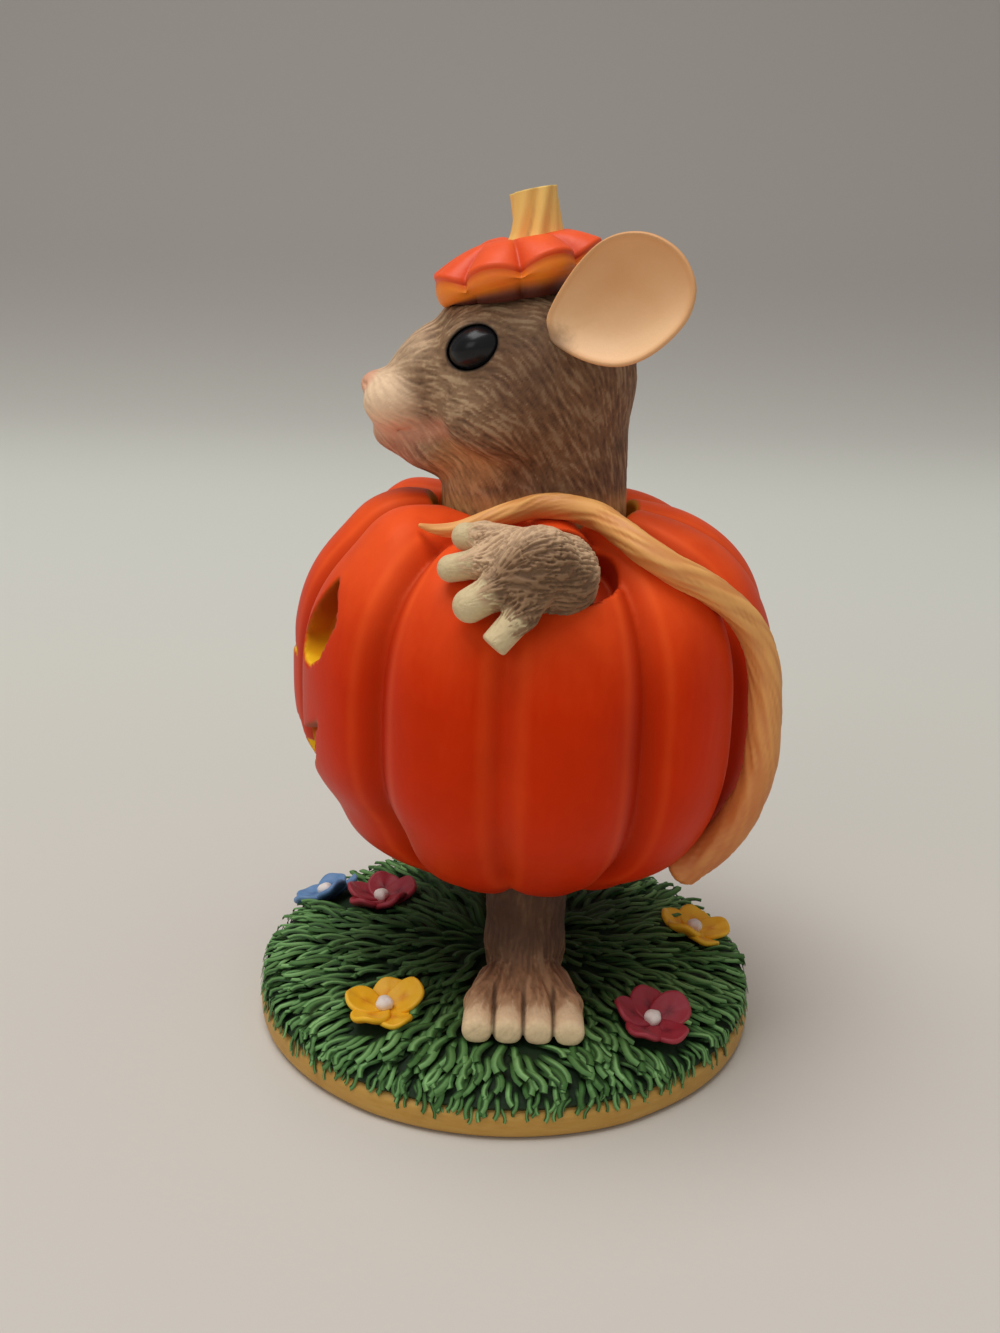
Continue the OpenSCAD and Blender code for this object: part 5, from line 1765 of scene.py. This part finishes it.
def turf_dome():
    """Dome that the blades grow from, open except where a foot or a flower covers it."""
    turn = np.radians(np.arange(0, 360, 2.5))
    rings = [hoop(turn, r, TURF_FOOT_Z - 0.02) for r in (14, 29.0)]
    for share in (0.988, *np.linspace(0.975, 0.02, 34)):
        r = TURF_R * share
        rings.append(hoop(turn, min(r, DOME_R), turf_z(r) - DOME_DROP))
    points, faces = ringed(rings)
    free = ramp(points[:, 2], TURF_FOOT_Z - 0.01, TURF_FOOT_Z + 0.3)
    q = mirrored(points)
    half, heel, toes = FOOT_CLEAR
    foot = np.max([np.abs(q[:, 1] - BODY_Y) - half, q[:, 0] - toes, heel - q[:, 0]], axis=0)
    free = free * ramp(foot, -0.2, 0.6)
    radius, length = FLOWER_CLEAR
    for spot in FLOWER_SPOTS.values():
        centre = flower_axes(spot)[:3, 3]
        inwards = 1 - length / np.hypot(centre[0], centre[1])
        behind = centre * (inwards, inwards, 1)
        free = free * ramp(limb(points, centre, behind, radius, radius), 0, 0.6)
    return piece("turf_seed", points, faces, {"open": free})


def grass_growth(s, material):
    """Tree that lays curved blades over the dome, out from its middle and over its edge."""
    area = np.pi * (TURF_R * MM) ** 2 * 1.12
    sizes = {
        "Spacing": ("Float", BLADE_GAP * MM),
        "Density": ("Float", s.blades / area * 1.25),
        "Length": ("Float", s.length),
        "Width": ("Float", s.width),
        "Rise": ("Float", s.rise),
        "Seed": ("Int", 7),
        "Material": ("Material", material),
    }
    g = Growth("grass_growth", sizes)
    given = g.given
    number = {"data_type": "FLOAT"}
    open_ground = g.node("GeometryNodeInputNamedAttribute", number, {"Name": "open"}, "Attribute")
    inputs = {
        "Mesh": given["Geometry"],
        "Distance Min": given["Spacing"],
        "Density Max": given["Density"],
        "Density Factor": open_ground,
        "Seed": given["Seed"],
    }
    spread = {"distribute_method": "POISSON"}
    points, normal = g.node("GeometryNodeDistributePointsOnFaces", spread, inputs, ("Points", "Normal"))
    place = g.node("GeometryNodeInputPosition")
    level = g.arrows("MULTIPLY", place, (1.0, 1.0, 0.0))
    radial = g.arrows("NORMALIZE", level)
    swirl = g.node("ShaderNodeTexNoise", None, {"Vector": place, "Scale": 150.0, "Detail": 1.0}, 0)
    angle = (swirl - 0.5) * 2.2 + g.chance(-0.26, 0.26, 3)
    upright = g.node("FunctionNodeAlignRotationToVector", {"axis": "Z"}, {"Vector": normal})
    facing = {"axis": "X", "pivot_axis": "Z"}
    inputs = {"Rotation": upright, "Vector": radial}
    outward = g.node("FunctionNodeAlignRotationToVector", facing, inputs)
    spun = g.turned(outward, (0.0, 0.0, 1.0), angle)
    pitched = g.turned(spun, (0.0, 1.0, 0.0), g.chance(-0.22, 0.02, 4))
    blades = g.node("GeometryNodeJoinGeometry")
    join = g.tree.nodes[-1]
    for sway in (1, -1):
        blade = grass_blade(g, given, sway)
        g.tree.links.new(blade.socket, join.inputs[0])
    height = g.parts(place, "Z") - SHORT_LEVEL * MM
    size = g.chance(0.75, 1.1, 5) * (height * (SHORT_SLOPE / MM)).at_least(SHORTEST).at_most(1.0)
    inputs = {
        "Points": points,
        "Instance": blades,
        "Pick Instance": True,
        "Instance Index": g.chance(0, 1, 6, "INT"),
        "Rotation": pitched,
        "Scale": size,
    }
    grown = g.node("GeometryNodeInstanceOnPoints", None, inputs)
    shaded = g.marked(grown, "shade", g.chance(0.0, 1.0, 8), "INSTANCE")
    real = g.node("GeometryNodeRealizeInstances", None, {0: shaded})
    x, y, z = g.parts(g.node("GeometryNodeInputPosition"), "X", "Y", "Z")
    radius = (x * x + y * y) ** 0.5
    excess = (radius - EDGE_R * MM).at_least(0.0)
    inward = 1 - excess * DRAWN_IN / radius
    bent = g.vector(x * inward, y * inward, z - excess * BENT_DOWN)
    hanging = g.node("GeometryNodeSetPosition", None, {"Geometry": real, "Position": bent})
    both = g.node("GeometryNodeJoinGeometry", None, {0: hanging})
    g.tree.links.new(given["Geometry"].socket, g.tree.nodes[-1].inputs[0])
    g.end(both, smooth=False)
    return g


def grass_blade(g, given, sway):
    """One blade as an instance: an arched curve that sways to one side and tapers to its tip."""
    length, rise = given["Length"], given["Rise"]

    def spot(along, across, up):
        return g.vector(length * along, length * (across * sway), rise * up)

    inputs = {
        "Start": spot(0.0, 0.0, -0.6),
        "Start Handle": spot(0.36, 0.2, 1.2),
        "End Handle": spot(0.68, -0.2, 1.2),
        "End": spot(1.0, 0.04, 0.3),
        "Resolution": 7,
    }
    spine = g.node("GeometryNodeCurvePrimitiveBezierSegment", {"mode": "POSITION"}, inputs)
    upward = g.node("GeometryNodeSetCurveNormal", {"mode": "Z_UP"}, {"Curve": spine})
    share = g.node("GeometryNodeSplineParameter", out="Factor")
    early = share**0.75
    taper = (early * (1 - early) * 4).at_least(0.0) ** 0.75 + 0.04
    sized = g.node("GeometryNodeSetCurveRadius", None, {"Curve": upward, "Radius": taper})
    marked = g.marked(sized, "along", share)
    corners = {"Resolution": 4, "Radius": 0.5}
    section = g.node("GeometryNodeCurvePrimitiveCircle", {"mode": "RADIUS"}, corners)
    x, y = g.parts(g.node("GeometryNodeInputPosition"), "X", "Y")
    # Crest mark: painted highlight and dry-brushing along the back and on the side that the blade sways
    # to.
    lit = 0.3 - y * BLADE_SHARES["ridge"] + x * (BLADE_SHARES["lean"] * sway)
    section = g.marked(section, "crest", lit)
    across = g.vector(given["Width"], given["Width"] * BLADE_SHARES["flat"], given["Width"])
    section = g.node("GeometryNodeTransform", None, {"Geometry": section, "Scale": across})
    inputs = {"Curve": marked, "Profile Curve": section, "Fill Caps": True}
    blade = g.node("GeometryNodeCurveToMesh", None, inputs)
    return g.node("GeometryNodeGeometryToInstance", None, {0: blade})


class FIGURINE_OT_grass(bpy.types.Operator):
    """Grow the carved grass over the turf's dome"""

    bl_idname = "figurine.grass"
    bl_label = "Grass"

    def execute(self, context):
        s = chosen(context, "grass")
        paint = Paint("grass_paint")
        along, crest, shade = paint.trait("along"), paint.trait("crest"), paint.trait("shade")
        x, y = paint.parts(paint.place, "X", "Y")
        patches = paint.noise(7, 3, 0.55)
        specks = paint.noise(0.7, 3, 0.6)
        # Painted shadow of the costume: near the middle the blades stay close to the dark root colour
        # and get little mint.
        outside_body_shadow = (x**2 + y**2).step((13 * MM) ** 2, (25 * MM) ** 2)
        # Painted shade and highlight: each blade is dark at its root and lighter along its crest, with a
        # random tone per blade.
        lit = along.step(0.05, 0.4) * (0.2 + 0.8 * crest.step(0.05, 0.8)) + (shade - 0.5) * 0.3
        green = paint.mix(lit * (0.35 + 0.65 * outside_body_shadow), s.root, s.blade)
        # Mint dry-brushing on the crests, faint inside the costume's painted shadow.
        streak = crest.step(0.42, 1.0) * along.step(0.1, 0.6) * (0.15 + 0.85 * outside_body_shadow)
        brushed = streak * (0.1 + 1.1 * shade) * (0.3 + 1.2 * patches) + (specks - 0.6) * 0.15
        colour = paint.mix(brushed, green, s.tip)
        gloss = {"Specular IOR Level": 0.3}
        material = paint.finish(colour, 0.6 + 0.15 * specks, specks, 0.03, gloss)
        made = grass_growth(s, material).grown(turf_dome(), "turf_grass")
        settled(made, material, "grass", "turf")
        return {"FINISHED"}


# The flowers: half of a petal's edge from its root to its tip, its hollow, its wall and its length,
# the lighter edge and the darker throat of each colour, and a white button's rings as radius and height

PETAL_EDGE = [(0.1, -0.4), (0.9, -1.2), (1.9, -1.65), (2.9, -1.62), (3.7, -1.05), (4.0, 0.0)]
PETAL_CUP = 0.24
PETAL_WALL = 0.7
PETAL_L = 3.8
PETAL_LIFT = 0.15
PETAL_SHADES = {
    "blue": (tint(140, 172, 206), tint(54, 84, 128)),
    "red": (tint(168, 60, 78), tint(84, 14, 28)),
    "yellow": (tint(250, 204, 60), tint(214, 120, 14)),
}
BUTTON_RINGS = [(0.8, 0.3), (0.9, 0.6), (0.96, 0.9), (0.92, 1.15), (0.74, 1.4), (0.48, 1.56)]
BUTTON_RINGS += [(0.2, 1.62)]


def petal():
    """One petal in flat axes, with X from the flower's middle to the rounded tip."""
    corners = PETAL_EDGE + [(x, -y) for x, y in PETAL_EDGE[-2::-1]]
    flat = closed_curve(corners, 28)
    rim = np.column_stack([flat, 0.16 * np.sin(flat[:, 1] * 2.2) + 0.12 * flat[:, 0]])
    middle, up = np.array((2.0, 0, 0.3)), np.array((0, 0, 1.0))
    return piece("petal_seed", *dish(rim, middle, up, PETAL_CUP, PETAL_WALL, rows=5))


def flower_growth(s, material, seed):
    """Tree that lays petals in a ring, each a little astray in its turn, tilt and size."""
    sizes = {
        "Petals": ("Int", s.petals),
        "Tilt": ("Float", s.tilt),
        "Scale": ("Float", s.reach / MM / PETAL_L),
        "Seed": ("Int", seed),
        "Material": ("Material", material),
    }
    g = Growth("flower_growth", sizes)
    given = g.given
    ring = g.node("GeometryNodeMeshCircle", None, {"Vertices": given["Petals"], "Radius": 0.15 * MM})
    index = g.node("GeometryNodeInputIndex")
    stray = g.chance(-0.12, 0.16, given["Seed"])
    turn = index * (2 * np.pi) / given["Petals"] + stray
    tilt = (given["Tilt"] + stray * 1.2) * -1.0
    angles = g.vector(stray * 1.5, tilt, turn)
    size = given["Scale"] * (1.0 + stray * 0.4)
    inputs = {"Points": ring, "Instance": given["Geometry"], "Rotation": angles, "Scale": size}
    g.end(g.node("GeometryNodeInstanceOnPoints", None, inputs))
    return g


def petal_paint(name, base, edge, throat):
    """A petal's paint: lighter in patches, darker in the throat, and with painted shade on the
    underside.
    """
    paint = Paint(name)
    reach, front = paint.trait("reach"), paint.trait("front")
    patches = paint.noise(1.6, 3, 0.6)
    specks = paint.noise(0.35, 3, 0.6)
    colour = paint.mix((patches - 0.4) * 1.4, base, edge)
    colour = paint.mix((1 - reach.step(0.0, 0.5)) * 0.6, colour, throat)
    # Painted shade on the underside, in the throat's colour.
    colour = paint.mix((1 - front.step(0.2, 0.8)) * 0.7, colour, throat)
    return paint.finish(colour, 0.42 + 0.2 * patches, specks * 0.4 + patches * 0.6, 0.05)


class FIGURINE_OT_flowers(bpy.types.Operator):
    """Grow the five flowers and set their white centres"""

    bl_idname = "figurine.flowers"
    bl_label = "Flowers"

    def execute(self, context):
        s = chosen(context, "flowers")
        paints = {
            colour: petal_paint(f"petal_{colour}_paint", getattr(s, colour), *shades)
            for colour, shades in PETAL_SHADES.items()
        }
        parts = []
        for seed, (node, spot) in enumerate(FLOWER_SPOTS.items()):
            shade = next(key for key in paints if key in node)
            made = flower_growth(s, paints[shade], seed + 2).grown(petal(), f"{node}_petals")
            axes = flower_axes(spot)
            place = Matrix(axes.tolist())
            place.translation *= MM
            made.data.transform(place @ Matrix.Translation((0, 0, PETAL_LIFT * MM)))
            settled(made, paints[shade], f"petal_{shade}", node)
            parts.append(self.centre(axes, seed))
        paint = Paint("centre_white_paint")
        specks = paint.noise(0.4, 3, 0.6)
        colour = paint.mix((specks - 0.5) * 1.4, s.white, tuple(0.7 * c for c in s.white))
        material = paint.finish(colour, 0.5 + 0.2 * specks, specks, 0.06)
        settled(joined("flower_buttons", parts), material, "centre_white", "flower_centres")
        return {"FINISHED"}

    def centre(self, axes, seed):
        """A small uneven button on one flower."""
        turn = np.radians(np.arange(0, 360, 15))
        wave = 1 + 0.07 * np.sin(3 * turn + seed) + 0.05 * np.sin(5 * turn + 2 * seed)
        points, faces = ringed([hoop(turn, r * wave, z) for r, z in BUTTON_RINGS])
        return points @ axes[:3, :3].T + axes[:3, 3], faces, {}


# The stage: the camera, with the photo's height and focal length in pixels, the floor that bends up
# into a wall, and each lamp's place, side and share of the overhead lamp's power

CAMERA_AT = np.array((163.4, 0, 97.2))
CAMERA_PITCH = np.radians(-18.41)
CAMERA_PAN = np.radians(-0.57)
CAMERA_ROLL = np.radians(1.63)
PHOTO_H = 1333
FOCAL_LENGTH = 1500
FLOOR_HALF = 1500
FLOOR_BACK = -420
FLOOR_BEND = 260
WALL_TOP = 1400
LAMPS = {
    "overhead_softbox": ((60, -160, 900), 640, 1.0),
    "camera_side_softbox": ((840, -520, 520), 520, 0.2),
}
LIT_POINT = np.array((0, 0, 50.0))


class FIGURINE_OT_stage(bpy.types.Operator):
    """Set the pale floor, the backdrop, the soft light and the camera"""

    bl_idname = "figurine.stage"
    bl_label = "Stage"

    def execute(self, context):
        s = chosen(context, "stage")
        self.sweep(s)
        self.light(context, s)
        self.camera(context)
        return {"FINISHED"}

    def sweep(self, s):
        """Floor that curves up into a wall behind the figurine."""
        profile = [(FLOOR_HALF, 0), (0, 0), (FLOOR_BACK, 0)]
        for a in np.radians(np.arange(6, 91, 6)):
            profile.append((FLOOR_BACK - FLOOR_BEND * np.sin(a), FLOOR_BEND - FLOOR_BEND * np.cos(a)))
        profile.append((FLOOR_BACK - FLOOR_BEND, WALL_TOP))
        points, faces = [], []
        for k, (x, z) in enumerate(profile):
            points += [(x, -FLOOR_HALF, z), (x, FLOOR_HALF, z)]
            if k:
                faces.append((2 * k - 2, 2 * k - 1, 2 * k + 1, 2 * k))
        points = np.array(points, float) - (0, 0, 0.02)
        made = piece("floor_sweep", points, np.array(faces))
        paint = Paint("floor_paper")
        x, z = paint.parts(paint.place, "X", "Z")
        behind = z * 1.2 - x
        grain = paint.noise(3, 3)
        # Painted light: the floor turns lighter further back, to make up for the lamp's falloff, before
        # the grey of the wall.
        near = paint.mix(behind.step(-0.05, 0.28), s.floor, s.far_floor)
        colour = paint.mix(behind.step(0.27, 0.66) + (grain - 0.5) * 0.02, near, s.backdrop)
        made.data.materials.append(paint.finish(colour, 0.85 + 0.05 * grain, grain, 0.02))

    def light(self, context, s):
        world = bpy.data.worlds.new("soft_room")
        context.scene.world = world
        world.use_nodes = True
        shade = next(n for n in world.node_tree.nodes if n.type == "BACKGROUND")
        shade.inputs["Color"].default_value = (1, 1, 1, 1)
        shade.inputs["Strength"].default_value = s.sky
        for name, (place, side, share) in LAMPS.items():
            lamp = bpy.data.lights.new(name, "AREA")
            lamp.shape = "SQUARE"
            lamp.size = side * MM
            lamp.energy = s.overhead * share
            made = bpy.data.objects.new(name, lamp)
            made.location = tuple(np.array(place) * MM)
            made.rotation_euler = Vector(LIT_POINT - place).to_track_quat("-Z", "Y").to_euler()
            context.scene.collection.objects.link(made)
        context.scene.view_settings.view_transform = "Standard"

    def camera(self, context):
        lens = bpy.data.cameras.new("photo_camera")
        lens.sensor_width = 36
        lens.lens = lens.sensor_width * FOCAL_LENGTH / PHOTO_H
        lens.clip_start = 0.01
        made = bpy.data.objects.new("photo_camera", lens)
        context.scene.collection.objects.link(made)
        ahead = np.array((
            -np.cos(CAMERA_PITCH) * np.cos(CAMERA_PAN),
            np.cos(CAMERA_PITCH) * np.sin(CAMERA_PAN),
            np.sin(CAMERA_PITCH),
        ))
        right = unit(np.cross(ahead, (0, 0, 1)))
        up = np.cross(right, ahead)
        c, s = np.cos(CAMERA_ROLL), np.sin(CAMERA_ROLL)
        right, up = c * right + s * up, c * up - s * right
        axes = np.eye(4)
        axes[:3, 0], axes[:3, 1], axes[:3, 2] = right, up, -ahead
        axes[:3, 3] = CAMERA_AT * MM
        made.matrix_world = Matrix(axes.tolist())
        context.scene.camera = made


class FIGURINE_PT_panel(bpy.types.Panel):
    """Buttons and settings of the figurine"""

    bl_label = "Figurine"
    bl_idname = "FIGURINE_PT_panel"
    bl_space_type = "VIEW_3D"
    bl_region_type = "UI"
    bl_category = "Figurine"

    def draw(self, context):
        for operator in OPERATORS:
            self.layout.operator(operator.bl_idname)
        for group in SETTINGS:
            box = self.layout.box()
            box.label(text=group.title())
            values = chosen(context, group)
            for key in values.bl_rna.properties.keys():
                if key not in ("rna_type", "name"):
                    box.prop(values, key)


OPERATORS = (
    FIGURINE_OT_plinth,
    FIGURINE_OT_grass,
    FIGURINE_OT_flowers,
    FIGURINE_OT_legs,
    FIGURINE_OT_costume,
    FIGURINE_OT_arms,
    FIGURINE_OT_tail,
    FIGURINE_OT_head,
    FIGURINE_OT_eyes,
    FIGURINE_OT_ears,
    FIGURINE_OT_hat,
    FIGURINE_OT_stage,
)


def register():
    for group, kind in SETTINGS.items():
        bpy.utils.register_class(kind)
        setattr(bpy.types.Scene, f"figurine_{group}", PointerProperty(type=kind))
    for kind in (*OPERATORS, FIGURINE_PT_panel):
        bpy.utils.register_class(kind)


def unregister():
    for kind in (FIGURINE_PT_panel, *reversed(OPERATORS)):
        bpy.utils.unregister_class(kind)
    for group, kind in SETTINGS.items():
        delattr(bpy.types.Scene, f"figurine_{group}")
        bpy.utils.unregister_class(kind)


def main():
    register()
    for kind in OPERATORS:
        group, name = kind.bl_idname.split(".")
        getattr(getattr(bpy.ops, group), name)()


if __name__ == "__main__":
    main()
